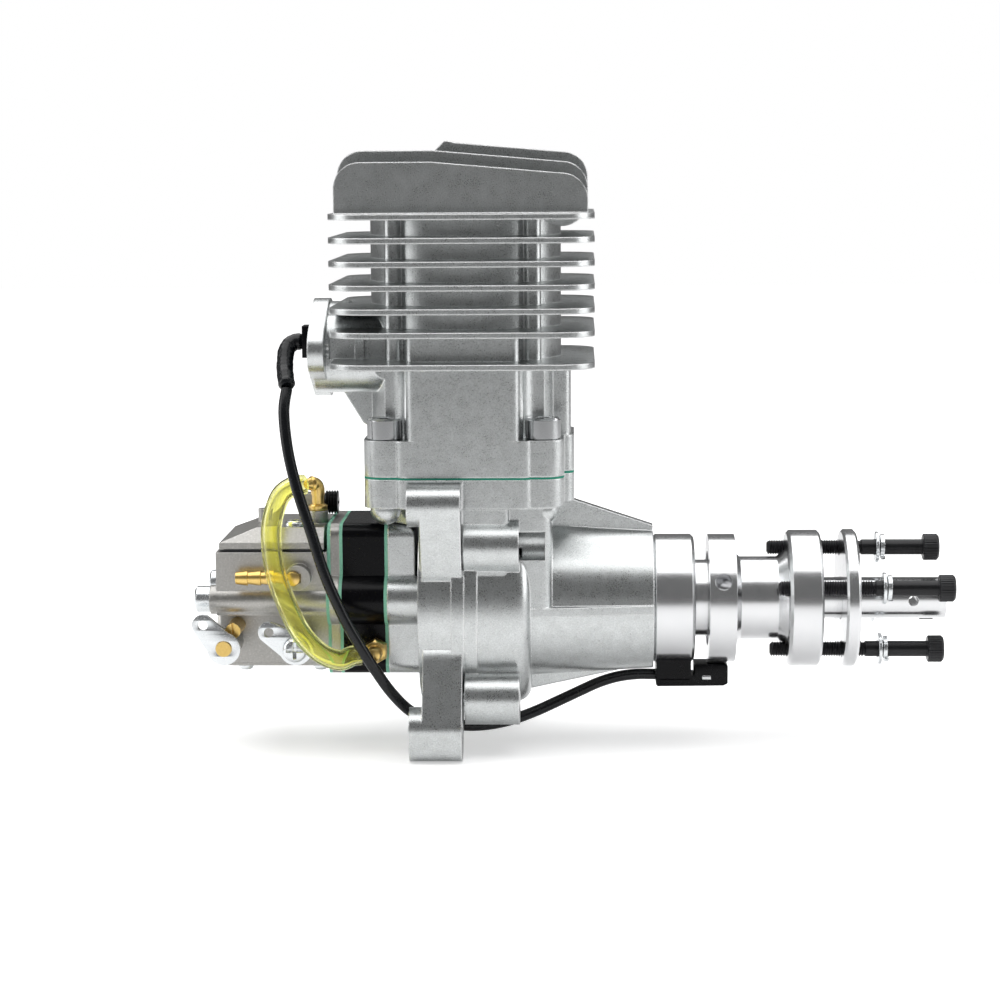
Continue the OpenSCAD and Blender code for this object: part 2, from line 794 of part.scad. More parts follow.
module cylinder_bolts() {
    color(steel) at_base_bolts() difference() {
        union() {
            rod_z(deck_z - base_depth, base_top, base_bolt_d / 2);
            rod_z(base_top, base_top + base_head_h, base_head_r);
        }
        translate([0, 0, base_top + base_head_h / 2]) cylinder(h = base_head_h, r = base_socket_r, $fn = 6);
    }
}

// Ball track radius and ball radius of a bearing
function track(b) = (b[0] + b[1]) / 2;
function ball_r(b) = (b[1] - b[0]) * 0.27;

module bearing_groove(b, x) {
    translate([x + b[2] / 2, 0, 0]) rotate([0, 90, 0])
        rotate_extrude() translate([track(b), 0]) circle(ball_r(b) + run_gap);
}

module outer_race(b, x) {
    difference() {
        tube_x(x, x + b[2], b[1], track(b) + ball_r(b) * 0.6);
        bearing_groove(b, x);
    }
}

module inner_race(b, x) {
    difference() {
        tube_x(x, x + b[2], track(b) - ball_r(b) * 0.6, b[0] + seat_gap / 2);
        bearing_groove(b, x);
    }
}

module race_balls(b, x, n) {
    for (i = [0:n - 1])
        translate([x + b[2] / 2, track(b) * cos(360 * i / n), track(b) * sin(360 * i / n)])
            sphere(ball_r(b));
}

module main_bearing_outer() {
    color(steel) {
        outer_race(rear_bearing, rear_bearing_x);
        outer_race(front_bearing, front_bearing_x);
    }
}

module main_bearing_inner() {
    color(steel) {
        inner_race(rear_bearing, rear_bearing_x);
        inner_race(front_bearing, front_bearing_x);
    }
}

module bearing_balls() {
    color(zinc) {
        race_balls(rear_bearing, rear_bearing_x, 8);
        race_balls(front_bearing, front_bearing_x, 8);
    }
}

module shaft_seal() {
    color(black) tube_x(nose_x - seal_t + 0.1, nose_x - 0.7, seal_r, nose_shaft_r + run_gap);
}

module sensor_collar() {
    color(aluminium) difference() {
        turned_x() difference() {
            polygon([[spigot_nose_r + seat_gap, collar_x0], [collar_r - 0.8, collar_x0],
                [collar_r, collar_x0 + 0.8], [collar_r, collar_x1 - 1], [collar_r - 1, collar_x1],
                [spigot_nose_r + seat_gap, collar_x1]]);
        }
        rod_z(-collar_r - 1, -spigot_nose_r, sensor_screw_r + seat_gap, sensor_screw_x);
    }
}

module sensor_holder() {
    color(black) difference() {
        translate([sensor_x0, -10, holder_z]) cube([11, 20, 7]);
        rod_x(0, 200, collar_r + seat_gap);
        rod_z(-40, 0, sensor_screw_r + 0.1, sensor_screw_x);
        rod_z(-40, sensor_head_z, sensor_head_r + 0.2, sensor_screw_x);
    }
}

module sensor_screw() {
    color(steel) difference() {
        union() {
            rod_z(sensor_head_z, -spigot_nose_r - 1, sensor_screw_r, sensor_screw_x);
            rod_z(sensor_head_z - 1.9, sensor_head_z, sensor_head_r, sensor_screw_x);
        }
        rod_z(sensor_head_z - 2, sensor_head_z - 1, 1.5, sensor_screw_x);
    }
}

module sensor_body() {
    color(black) difference() {
        union() {
            translate([sensor_x0, -5, sensor_z]) cube([sensor_len, 10, holder_z - sensor_z]);
            translate([sensor_x0 + 12.2, -4.2, sensor_z]) cube([sensor_len - 13.2, 8.4, 7.2]);
        }
        rod_z(sensor_z - 1, -23, sensor_head_r + 0.5, sensor_screw_x);
    }
}

module sensor_cable() {
    color(black) swept_tube(smooth(cable_route, 3), cable_d / 2, 8);
}

module cable_sleeve() {
    color([0.25, 0.26, 0.27]) swept_tube(smooth(sleeve_route, 3), cable_d / 2 + 0.9, 10);
}

module cable_plug() {
    color(black) difference() {
        translate([connector_x, -12.4, 78.4]) cube([13, 8, 10]);
        translate([connector_x + 12, -11.2, 79.6]) cube([3, 5.6, 7.6]);
    }
}

module reed_block() {
    color(black) difference() {
        plate_x(block_x0, block_x1) intake_outline();
        plate_x(block_x0 - 1, block_x1 + 1) round_rect([-cage_w / 2 + 1, window_z - cage_h / 2],
            [cage_w / 2 - 1, window_z + cage_h / 2 - 1], 3);
        plate_x(block_x0 - 1, block_x1 + 1) translate([0, throat_z]) circle(throat_r);
        plate_x(block_x1 - cage_rim_t, block_x1 + 1) cage_rim_outline(seat_gap);
        for (s = [-1, 1])
            rod_x(block_x0 - 1, block_x1 + 1, carb_bolt_d / 2 + 0.2, s * carb_pitch / 2, block_z);
    }
}

module cage_rim_outline(grow) {
    w = window_w / 2 - 1 + grow;
    h = window_h / 2 + 0.4 + grow;
    translate([0, window_z]) square([2 * w, 2 * h], center = true);
}

// Wedge of the reed cage in side view, shrunk by a wall
module wedge_outline(wall) {
    polygon([[block_x1 - cage_rim_t, window_z - cage_h / 2 + wall], [block_x1, window_z - cage_h / 2 + wall],
        [block_x1 + cage_len - wall, window_z - cage_tip / 2 + wall / 3],
        [block_x1 + cage_len - wall, window_z + cage_tip / 2 - wall / 3],
        [block_x1, window_z + cage_h / 2 - wall], [block_x1 - cage_rim_t, window_z + cage_h / 2 - wall]]);
}

cage_lean = atan2((cage_h - cage_tip) / 2, cage_len);

module reed_cage() {
    color(aluminium) difference() {
        union() {
            plate_x(block_x1 - cage_rim_t, block_x1) cage_rim_outline(0);
            plate_y(-cage_w / 2, cage_w / 2) wedge_outline(0);
        }
        plate_y(-cage_w / 2 + 1.5, cage_w / 2 - 1.5) wedge_outline(1.5);
        translate([block_x1 - cage_rim_t - 1, -cage_w / 2 + 1.5, window_z - cage_h / 2 + 1.5])
            cube([cage_rim_t + 1, cage_w - 3, cage_h - 3]);
        for (s = [-1, 1]) translate([block_x1 + 3, s * cage_w / 4, window_z])
            cube([7, cage_w / 2 - 4, 3 * cage_h], center = true);
    }
}

// Plates that lie on the two faces of the wedge
module on_wedge(side, lift) {
    mirror([0, 0, side < 0 ? 1 : 0]) translate([block_x1, 0, (side < 0 ? -window_z : window_z) + cage_h / 2])
        rotate([0, cage_lean, 0]) translate([0, 0, lift]) children();
}

module reed_petals() {
    color([0.18, 0.18, 0.17]) for (s = [-1, 1], y = [-1, 1]) on_wedge(s, 0.02)
        translate([1, y * petal_w / 4 - petal_w / 4 + 0.4, 0]) cube([cage_len - 1, petal_w / 2 - 0.8, petal_t]);
}

module reed_stops() {
    color(zinc) for (s = [-1, 1]) on_wedge(s, petal_t + 0.04) translate([1.4, -petal_w / 2 + 1, 0])
        cube([cage_len - 3.5, petal_w - 2, stop_t]);
}

module intake_gasket(x0, hole_r) {
    plate_x(x0, x0 + gasket_t) difference() {
        intake_outline();
        if (hole_r == 0) window_outline();
        else translate([0, throat_z]) circle(hole_r);
        for (s = [-1, 1]) translate([s * carb_pitch / 2, block_z]) circle(carb_bolt_d / 2 + 0.2);
    }
}

module intake_gaskets() {
    color(green) {
        intake_gasket(block_x1, 0);
        intake_gasket(plate_x1, throat_r);
        intake_gasket(carb_x1, throat_r);
    }
}

module carb_plate() {
    color(aluminium) plate_x(plate_x0, plate_x1) difference() {
        intake_outline();
        translate([0, throat_z]) circle(throat_r);
        for (s = [-1, 1]) translate([s * carb_pitch / 2, block_z]) circle(carb_bolt_d / 2 + 0.2);
    }
}

module carb_body() {
    color(zinc) difference() {
        union() {
            translate([carb_x0, -carb_w / 2, lower_top]) cube([carb_len, carb_w, carb_top - lower_top]);
            translate([carb_x0, lower_y, carb_bottom])
                cube([carb_len, carb_w / 2 - lower_y, lower_top + 1 - carb_bottom]);
            for (s = [-1, 1])
                rod_x(carb_x0 - carb_rear_rim, carb_x1, carb_bulge_r, s * (carb_w / 2 - 3.2), block_z);
            rod_x(carb_x0 - carb_rear_rim, carb_x0 + 1, throat_r + throat_wall, 0, throat_z);
            for (x = [throttle_x, choke_x])
                rod_y(-carb_w / 2 - 3, carb_w / 2 + 3, shaft_boss_r, x, throat_z);
            rod_y(-carb_w / 2 - 4.5, -carb_w / 2 + 1, 4, nipple_x - 0.5, nipple_z);
        }
        rod_x(carb_x0 - carb_rear_rim - 1, carb_x1 + 1, throat_r, 0, throat_z);
        for (x = [throttle_x, choke_x]) rod_y(-carb_w, carb_w, shaft_r + run_gap, x, throat_z);
        for (s = [-1, 1]) rod_x(carb_x0 - carb_rear_rim - 1, carb_x1 + 1, carb_bolt_d / 2 + 0.2,
            s * carb_pitch / 2, block_z);
        rod_x(nipple_x - 6, nipple_x + 0.5, nipple_r + 0.1, nipple_y, nipple_z);
        for (x = needle_x) rod_y(carb_w / 2 - 4.1, carb_w, needle_r + seat_gap, x, needle_z);
        rod_y(-carb_w, lower_y + 4, plug_cap_r + seat_gap, plug_cap_x, plug_cap_z);
    }
}

module cover_outline(inset) {
    round_rect([carb_x0 + inset, -carb_w / 2 + inset], [carb_x1 - inset, carb_w / 2 - inset], 3);
}

module pump_gasket() {
    color(black) translate([0, 0, carb_top]) linear_extrude(pump_gasket_t) cover_outline(cover_inset - 0.3);
}

// Hipped cover: its rear end and its two long sides slope up to a flat top
module pump_cover() {
    z = carb_top + pump_gasket_t;
    x0 = carb_x0 + cover_inset;
    x1 = carb_x1 - cover_inset;
    half = carb_w / 2 - cover_inset;
    color(zinc) difference() {
        union() {
            intersection() {
                plate_y(-half, half) polygon([[x0, z], [x1, z], [x1, pump_top],
                    [x0 + pump_slope_x, pump_top], [x0, z + pump_edge]]);
                plate_x(x0, x1) polygon([[-half, z], [half, z], [half, z + pump_edge],
                    [half - pump_slope_y, pump_top], [pump_slope_y - half, pump_top], [-half, z + pump_edge]]);
            }
            rod_z(z + 1, pump_top + elbow_boss_h, elbow_boss_r, elbow_x, elbow_y);
            rod_z(z + 1, pump_top + elbow_boss_h, cover_post_r, cover_post_x, 0);
            translate([idle_lug_x, idle_y - 3, z + 1]) cube([idle_lug_t, 6, idle_z + 3 - z - 1]);
        }
        rod_z(pump_top - 1, pump_top + 20, elbow_r + 0.1, elbow_x, elbow_y);
        rod_z(z + 1, pump_top + 20, cover_screw_r + 0.1, cover_screw_x, cover_screw_y);
        rod_x(idle_lug_x - 1, idle_lug_x + idle_lug_t + 1, idle_r + seat_gap, idle_y, idle_z);
    }
}

module metering_cover() {
    color(zinc) difference() {
        translate([0, 0, carb_bottom - meter_t]) linear_extrude(meter_t)
            round_rect([carb_x0 + cover_inset, lower_y + 0.5],
                [carb_x1 - cover_inset, carb_w / 2 - cover_inset], 3);
        rod_z(carb_bottom - 10, carb_bottom + 1, 1.5, (carb_x0 + carb_x1) / 2, 0);
    }
}

module cover_screws() {
    color(zinc) {
        difference() {
            union() {
                rod_z(pump_top - 5.4, pump_top, cover_screw_r, cover_screw_x, cover_screw_y);
                rod_z(pump_top, pump_top + 1.8, cover_head_r, cover_screw_x, cover_screw_y);
            }
            translate([cover_screw_x - 0.4, cover_screw_y - 2, pump_top + 1]) cube([0.8, 4, 2]);
        }
        for (x = meter_screw_x, y = [lower_y + 3.5, carb_w / 2 - 5])
            rod_z(carb_bottom - meter_t - 1.6, carb_bottom - meter_t, 2.4, x, y);
    }
}

module carb_bolts() {
    color(zinc) for (s = [-1, 1]) mirror([1, 0, 0])
        cap_screw_x(1, carb_rear_rim - carb_x0, carb_bolt_d / 2, case_head_r, carb_bolt_d,
            s * carb_pitch / 2, block_z);
}

module barbs_x(x0, x1, r, y, z, n) {
    step = (x1 - x0) / n;
    for (i = [0:n - 1]) translate([x0 + i * step, y, z]) rotate([0, 90, 0])
        cylinder(h = step, r1 = r * 0.72, r2 = r);
}

module fuel_nipple() {
    color(brass) difference() {
        union() {
            barbs_x(nipple_x - 20, nipple_x - 8, 2.4, nipple_y, nipple_z, 3);
            rod_x(nipple_x - 8.5, nipple_x + 0.2, nipple_r, nipple_y, nipple_z);
        }
        rod_x(nipple_x - 30, nipple_x - 1, nipple_r / 2, nipple_y, nipple_z);
    }
}

module pulse_elbow() {
    color(brass) {
        rod_z(pump_top - 1 + seat_gap, elbow_z, elbow_r, elbow_x, elbow_y);
        rod_z(pump_top + elbow_boss_h + seat_gap, pump_top + elbow_boss_h + 2, 3, elbow_x, elbow_y);
        translate([elbow_x, elbow_y, elbow_z]) {
            sphere(2.7);
            rotate([0, 90, 225]) cylinder(h = 5, r = 2.1);
        }
    }
}

module pulse_nipple() {
    y0 = -block_w / 2 - seat_gap;
    color(brass) {
        translate([pulse_x, y0, pulse_z]) rotate([90, 0, 0]) cylinder(h = 5.6, r = 4, $fn = 6);
        rod_y(y0 - 8.8, y0 - 5, 2.4, pulse_x, pulse_z);
        rod_x(pulse_x - 3.7, pulse_x, 2.1, y0 - 8.8, pulse_z);
        translate([pulse_x, y0 - 8.8, pulse_z]) sphere(2.4);
    }
}

module pulse_hose() {
    color(clear_yellow) swept_tube(smooth(hose_route, 3), hose_d / 2, 12);
}

module mixture_screws() {
    color(brass) {
        for (x = needle_x) difference() {
            union() {
                rod_y(carb_w / 2 - 4, carb_w / 2 + 8, needle_r, x, needle_z);
                rod_y(carb_w / 2 + 4, carb_w / 2 + 8, 2.4, x, needle_z);
            }
            translate([x - 3, carb_w / 2 + 7, needle_z - 0.4]) cube([6, 3, 0.8]);
        }
        difference() {
            rod_y(-carb_w / 2 - 3.4, lower_y + 4, plug_cap_r, plug_cap_x, plug_cap_z);
            translate([plug_cap_x - 0.4, -carb_w / 2 - 4, plug_cap_z - 3]) cube([0.8, 2, 6]);
        }
    }
}

module idle_screw() {
    color(black) {
        rod_x(idle_lug_x - 2, idle_head_x, idle_r, idle_y, idle_z);
        rod_x(idle_head_x, idle_head_x + idle_head_len, idle_head_r, idle_y, idle_z);
    }
}

module idle_spring() {
    color(steel) for (i = [0:idle_turns - 1])
        translate([idle_spring_x + idle_wire + i * (2 * idle_wire + seat_gap), idle_y, idle_z])
            rotate([0, 90, 0]) rotate_extrude()
                translate([idle_r + idle_wire + seat_gap, 0]) circle(idle_wire);
}

module crankshaft() {
    color(steel) difference() {
        union() {
            rod_x(web_x, web_end, web_r);
            rod_x(web_end - 1, rear_bearing_x + rear_bearing[2], main_r);
            rod_x(web_end, shaft_end, nose_shaft_r);
        }
        for (s = [-1, 1]) plate_x(web_x - 1, web_end + 1)
            translate([s * (web_r + web_waist_off), -web_r]) circle(web_waist_r);
        translate([hub_x - seat_gap, -2 - seat_gap, nose_shaft_r - 1 - seat_gap])
            cube([12 + 2 * seat_gap, 4 + 2 * seat_gap, 3]);
    }
}

module prop_hub() {
    color(aluminium) difference() {
        turned_x() polygon([[0, hub_x], [neck_r, hub_x], [neck_r, ring_x0 + 1], [spool_r + 1.8, ring_x1 - 1],
            [spool_r + 1.8, ring_x1], [spool_r, ring_x1 + 1.8], [spool_r, flange_rear - 3],
            [spool_r + 2.4, flange_rear], [hub_r - 1, flange_rear], [hub_r, flange_rear + 1],
            [hub_r, flange_front - 0.8], [hub_r - 0.8, flange_front], [0, flange_front]]);
        rod_x(hub_x - 1, shaft_end + 0.3, nose_shaft_r + seat_gap);
        rod_x(shaft_end, flange_front + 1, stud_thread_r + seat_gap);
        rod_x(flange_front - stud_seat, flange_front + 1, stud_d / 2 + seat_gap);
        at_prop_bolts() rod_x(flange_rear - 8, flange_front + 1, prop_bolt_d / 2 + seat_gap);
        translate([hub_x - 1, -2.05, 0]) cube([14, 4.1, nose_shaft_r + 2.05]);
    }
}

// The propeller bolts' places, turned about the crank axis
module at_prop_bolts() {
    for (i = [0:3]) rotate([-prop_turn - 90 * i, 0, 0]) translate([0, 0, prop_pcd / 2]) children();
}

module trigger_ring() {
    color(aluminium) difference() {
        tube_x(ring_x0, ring_x1, ring_r, spool_r + 1.8 + seat_gap);
        rotate([66, 0, 0]) rod_z(spool_r, ring_r + 1, 2.6, (ring_x0 + ring_x1) / 2);
        rotate([-114, 0, 0]) rod_z(ring_r - 3, ring_r + 1, 2, (ring_x0 + ring_x1) / 2);
    }
}

module trigger_magnet() {
    color(zinc) rotate([-114, 0, 0]) rod_z(ring_r - 3, ring_r - 0.4, 1.95, (ring_x0 + ring_x1) / 2);
}

module hub_key() {
    color(steel) translate([hub_x, -2, nose_shaft_r - 1]) cube([12, 4, 3]);
}

module prop_bolts() {
    color(black) for (i = [0:3]) rotate([-prop_turn - 90 * i, 0, 0])
        translate([backoff[i], 0, 0])
            cap_screw_x(head_x - prop_bolt_len, head_x, prop_bolt_d / 2, prop_head_r, prop_head_h, 0,
                prop_pcd / 2);
}

module flat_washers() {
    color(zinc) at_prop_bolts() tube_x(washer_x, washer_x + washer_t, washer_r, prop_bolt_d / 2 + 0.15);
}

module spring_washers() {
    color(zinc) at_prop_bolts() tube_x(spring_washer_x, spring_washer_x + spring_washer_t, spring_washer_r,
        prop_bolt_d / 2 + 0.1);
}

module centre_stud() {
    color(aluminium) difference() {
        union() {
            rod_x(flange_front - stud_root, flange_front, stud_thread_r);
            rod_x(flange_front - stud_seat, stud_x, stud_d / 2);
        }
        rod_y(-10, 10, 1.6, stud_x - 10.5, 0);
    }
}

module prop_plate() {
    color(aluminium) difference() {
        turned_x() polygon([[stud_d / 2 + part_gap, clamp_x], [clamp_r - edge, clamp_x],
            [clamp_r, clamp_x + edge], [clamp_r, clamp_x + clamp_t - edge],
            [clamp_r - edge, clamp_x + clamp_t], [stud_d / 2 + part_gap, clamp_x + clamp_t]]);
        at_prop_bolts() rod_x(clamp_x - 1, clamp_x + clamp_t + 1, prop_bolt_d / 2 + 0.25);
    }
}

module piston() {
    color(aluminium) difference() {
        union() {
            translate([cyl_x, 0, 0]) rotate_extrude() difference() {
                polygon([[0, crown_z], [piston_r - 0.8, crown_z], [piston_r, crown_z - 0.8],
                    [piston_r, wrist_z - skirt_h], [0, wrist_z - skirt_h]]);
                for (k = [0, 1]) translate([piston_r - 2, crown_z - 4 - 3.5 * k]) square([3, ring_w + 0.1]);
                polygon([[0, crown_z - 6], [piston_r - 6, crown_z - 8], [piston_r - 3, crown_z - 12],
                    [piston_r - 3, wrist_z - skirt_h - 1], [0, wrist_z - skirt_h - 1]]);
            }
            for (x = [cyl_x - piston_r + 2, cyl_x + rod_w / 2 + 1])
                rod_x(x, x + piston_r - rod_w / 2 - 3, wrist_pin_d / 2 + 3, 0, wrist_z);
        }
        rod_x(cyl_x - 50, cyl_x + 50, wrist_pin_d / 2 + seat_gap, 0, wrist_z);
    }
}

module piston_rings() {
    color(steel) for (k = [0, 1]) difference() {
        rod_z(crown_z - 4 - 3.5 * k + 0.05, crown_z - 4 - 3.5 * k + ring_w + 0.05, bore_r - 0.03, cyl_x);
        rod_z(0, 200, piston_r - 1.9, cyl_x);
        translate([cyl_x - 0.4, 0, 0]) cube([0.8, 100, 400]);
    }
}

module wrist_pin() {
    color(steel) difference() {
        rod_x(cyl_x - 18, cyl_x + 18, wrist_pin_d / 2, 0, wrist_z);
        rod_x(cyl_x - 19, cyl_x + 19, wrist_pin_d / 2 - 2, 0, wrist_z);
    }
}

module rod_eye(r, z) {
    rod_x(cyl_x - rod_w / 2, cyl_x + rod_w / 2, r, 0, z);
}

module conrod() {
    small_r = wrist_pin_d / 2 + 4;
    color(steel) difference() {
        union() {
            rod_eye(small_r, wrist_z);
            rod_eye(big_eye_r, -crank_r);
            plate_x(cyl_x - beam_w / 2, cyl_x + beam_w / 2)
                tangent_bar([0, -crank_r], big_eye_r - 3, [0, wrist_z], small_r - 3);
        }
        for (s = [-1, 1]) plate_x(cyl_x + (s > 0 ? 1.5 : -5), cyl_x + (s > 0 ? 5 : -1.5))
            tangent_bar([0, -crank_r + big_eye_r + 3.5], 3, [0, wrist_z - small_r - 3], 2.4);
        rod_x(0, 60, crank_pin_d / 2 + 2, 0, -crank_r);
        rod_x(0, 60, wrist_pin_d / 2 + 2, 0, wrist_z);
    }
}

module rod_bearings() {
    color(zinc) for (e = [[wrist_pin_d / 2, wrist_z], [crank_pin_d / 2, -crank_r]]) difference() {
        rod_eye(e[0] + 2 - run_gap, e[1]);
        rod_x(-10, 60, e[0] + run_gap, 0, e[1]);
    }
}

module crank_pin() {
    color(steel) rod_x(cyl_x - rod_w / 2 - 1, web_x - 0.3, crank_pin_d / 2, 0, -crank_r);
}

// Shaft with its slotted end on the near side
module carb_shaft(x) {
    difference() {
        rod_y(lever_y - 0.6, carb_w / 2 + 4, shaft_r, x, throat_z);
        translate([x - 0.55, -throat_r - 0.5, throat_z - 10]) cube([1.1, 2 * throat_r + 1, 20]);
    }
}

module butterfly(x) {
    rod_x(x - 0.5, x + 0.5, throat_r - 0.08, 0, throat_z);
}

// Zinc-plated lever: an arm to the link hole and a short stop arm
module lever(x, angle) {
    tip = lever_arm * [cos(angle), sin(angle)];
    tail = 6 * [cos(angle - 95), sin(angle - 95)];
    translate([x, 0, throat_z]) difference() {
        plate_y(lever_y, lever_y + lever_t) {
            hull() {
                circle(lever_hub_r);
                translate(tip) circle(lever_tip_r);
            }
            hull() {
                circle(lever_hub_r - 0.4);
                translate(tail) circle(lever_tip_r - 0.2);
            }
        }
        rod_y(-100, 0, shaft_r + 0.02);
        rod_y(-100, 0, 1.5, tip.x, tip.y);
    }
}

module throttle_shaft() {
    color(steel) carb_shaft(throttle_x);
}

module throttle_plate() {
    color(brass) butterfly(throttle_x);
}

module throttle_lever() {
    color(zinc) lever(throttle_x, throttle_angle);
}

module throttle_screw() {
    color(zinc) difference() {
        rod_y(lever_y - 3.2, lever_y - 0.6, lever_screw_r, throttle_x, throat_z);
        translate([throttle_x - 2.2, lever_y - 4, throat_z - 0.4]) cube([4.4, 2, 0.8]);
        translate([throttle_x - 0.4, lever_y - 4, throat_z - 2.2]) cube([0.8, 2, 4.4]);
    }
}

module choke_shaft() {
    color(brass) carb_shaft(choke_x);
}

module choke_plate() {
    color(brass) butterfly(choke_x);
}

module choke_lever() {
    color(zinc) lever(choke_x, choke_angle);
}

crankcase_front();
crankcase_rear();
case_bolts();
cylinder_node();  // cylinder
base_gasket();
cylinder_bolts();
main_bearing_outer();
bearing_balls();
shaft_seal();
sensor_collar();
sensor_holder();
sensor_body();
sensor_screw();
sensor_cable();
cable_sleeve();
cable_plug();
reed_block();
reed_cage();
reed_petals();
reed_stops();
intake_gaskets();
carb_plate();
carb_body();
pump_gasket();
pump_cover();
metering_cover();
cover_screws();
carb_bolts();
fuel_nipple();
pulse_elbow();
pulse_nipple();
pulse_hose();
mixture_screws();
idle_screw();
idle_spring();
crankshaft();
main_bearing_inner();
prop_hub();
trigger_ring();
trigger_magnet();
hub_key();
prop_bolts();
flat_washers();
spring_washers();
centre_stud();
prop_plate();
piston();
piston_rings();
wrist_pin();
rod_bearings();
conrod();
crank_pin();
throttle_shaft();
throttle_plate();
throttle_lever();
throttle_screw();
choke_shaft();
choke_plate();
choke_lever();
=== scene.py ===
"""Finishes and fine pieces of a single-cylinder model aircraft engine on its CAD frame."""

import logging
import math
from dataclasses import dataclass, field
from enum import Enum
from typing import Callable, Sequence

import bmesh
import bpy
from bpy.types import ID, Material, Mesh, Node, NodeOutputs, NodeSocket, NodeTree, Object
from mathutils import Matrix, Vector
from mathutils.geometry import tessellate_polygon


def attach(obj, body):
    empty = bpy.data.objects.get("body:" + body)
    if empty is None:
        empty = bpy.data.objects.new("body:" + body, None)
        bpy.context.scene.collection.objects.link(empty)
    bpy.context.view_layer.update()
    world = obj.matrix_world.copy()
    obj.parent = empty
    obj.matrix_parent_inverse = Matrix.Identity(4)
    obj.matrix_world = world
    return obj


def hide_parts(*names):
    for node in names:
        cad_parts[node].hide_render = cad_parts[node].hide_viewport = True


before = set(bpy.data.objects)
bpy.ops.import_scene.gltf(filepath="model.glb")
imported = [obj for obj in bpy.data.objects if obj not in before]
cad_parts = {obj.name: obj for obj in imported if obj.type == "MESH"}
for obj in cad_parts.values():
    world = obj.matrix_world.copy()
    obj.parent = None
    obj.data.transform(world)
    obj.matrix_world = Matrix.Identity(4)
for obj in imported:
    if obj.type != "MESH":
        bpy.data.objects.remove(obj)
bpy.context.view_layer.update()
LOG = logging.getLogger("engine")
MM = 0.001
TAU = 2 * math.pi
Flat = tuple[float, float]
Point = tuple[float, float, float]
Rim = Callable[[float], float]
Radius = float | Rim
Feeds = dict[str | int, object]
SHARP_ANGLE = math.radians(38)
ALONG_X = Matrix.Rotation(math.pi / 2, 4, "Y")
DIAGONAL = 0.707
THROTTLE_X = -36.0
CHOKE_X = -58.6
THROAT_Z = -11.5
BOSS_TOP = 29.35


def metres(points: Sequence[Point]) -> list[Vector]:
    """Returns millimetre points as metre vectors."""
    return [Vector(p) * MM for p in points]


def upright(x: float, z: float, y: float) -> Point:
    """Returns a point of an outline that stands in the XZ plane."""
    return x, y, z


def basis(direction: Vector) -> tuple[Vector, Vector, Vector]:
    """Makes a right-handed set of axes.

    Args:
        direction: the main axis, of any length.

    Returns:
        Two side axes and the unit main axis.
    """
    main = direction.normalized()
    helper = Vector((0, 0, 1)) if abs(main.z) < 0.9 else Vector((1, 0, 0))
    side = helper.cross(main).normalized()
    return side, main.cross(side), main


def spline_points(route: Sequence[Point], steps: int) -> list[Vector]:
    """Runs a smooth curve through a route, as the CAD does.

    Args:
        route: the points to pass, in millimetres.
        steps: pieces between two points.

    Returns:
        Points on the curve, in millimetres.
    """
    p = [Vector(q) for q in route]
    last = len(p) - 1
    out: list[Vector] = []
    for i in range(last):
        a, b, c, d = p[max(i - 1, 0)], p[i], p[i + 1], p[min(i + 2, last)]
        for k in range(steps):
            t = k / steps
            out.append(0.5 * (2 * b + (c - a) * t + (2 * a - 5 * b + 4 * c - d) * t * t
                              + (3 * b - a - 3 * c + d) * t ** 3))
    out.append(p[last])
    return out


def hexagon(apothem: float) -> Rim:
    """Returns the radius of a hexagon at each angle."""
    return lambda a: apothem / math.cos((a + math.pi / 6) % (math.pi / 3) - math.pi / 6)


def knurled(r: float, depth: float, teeth: int) -> Rim:
    """Returns the radius of a knurled rim at each angle."""
    return lambda a: r - depth * (0.5 + 0.5 * math.cos(a * teeth))


def recess(reach: float, half: float, arms: int) -> Rim:
    """Returns the radius of a recess with straight arms at each angle.

    Args:
        reach: length of an arm.
        half: half of an arm's width.
        arms: two for a straight slot, four for a cross.
    """
    step = math.pi / arms

    def radius(a: float) -> float:
        """Returns the radius at angle a."""
        off = abs((a + step) % (2 * step) - step)
        return min(reach, half / max(math.sin(off), 1e-3))

    return radius


def circle(x: float, y: float, r: float, steps: int = 32) -> list[Flat]:
    """Returns the corners of a circle."""
    return [(x + r * math.cos(TAU * i / steps), y + r * math.sin(TAU * i / steps))
            for i in range(steps)]


def rectangle(x0: float, y0: float, x1: float, y1: float) -> list[Flat]:
    """Returns the corners of a rectangle, anticlockwise."""
    return [(x0, y0), (x1, y0), (x1, y1), (x0, y1)]


def ring(centre: Vector, u: Vector, v: Vector, radius: Radius, sides: int) -> list[Vector]:
    """Returns points round a centre in the plane of two axes."""
    out = []
    for j in range(sides):
        a = TAU * j / sides
        r = radius(a) if callable(radius) else radius
        out.append(centre + (u * math.cos(a) + v * math.sin(a)) * r)
    return out


def lever_edge(tip: Flat, hub_r: float, tip_r: float, steps: int = 240) -> list[Flat]:
    """Outlines a round hub at the origin and a round tip, joined by a slim waist.

    Args:
        tip: centre of the tip.
        hub_r: radius of the hub.
        tip_r: radius of the tip.
        steps: directions tried round the hub.

    Returns:
        The outline, anticlockwise.
    """
    span = 24
    waist = 0.4
    out = []
    for k in range(steps):
        a = TAU * k / steps
        dx, dy = math.cos(a), math.sin(a)
        best = hub_r
        for i in range(span + 1):
            t = i / span
            x, y = tip[0] * t, tip[1] * t
            r = (hub_r - waist) * (1 - t) + tip_r * t
            along = x * dx + y * dy
            off = x * x + y * y - along * along
            if off < r * r and along > 0:
                best = max(best, along + math.sqrt(r * r - off))
        out.append((best * dx, best * dy))
    return out


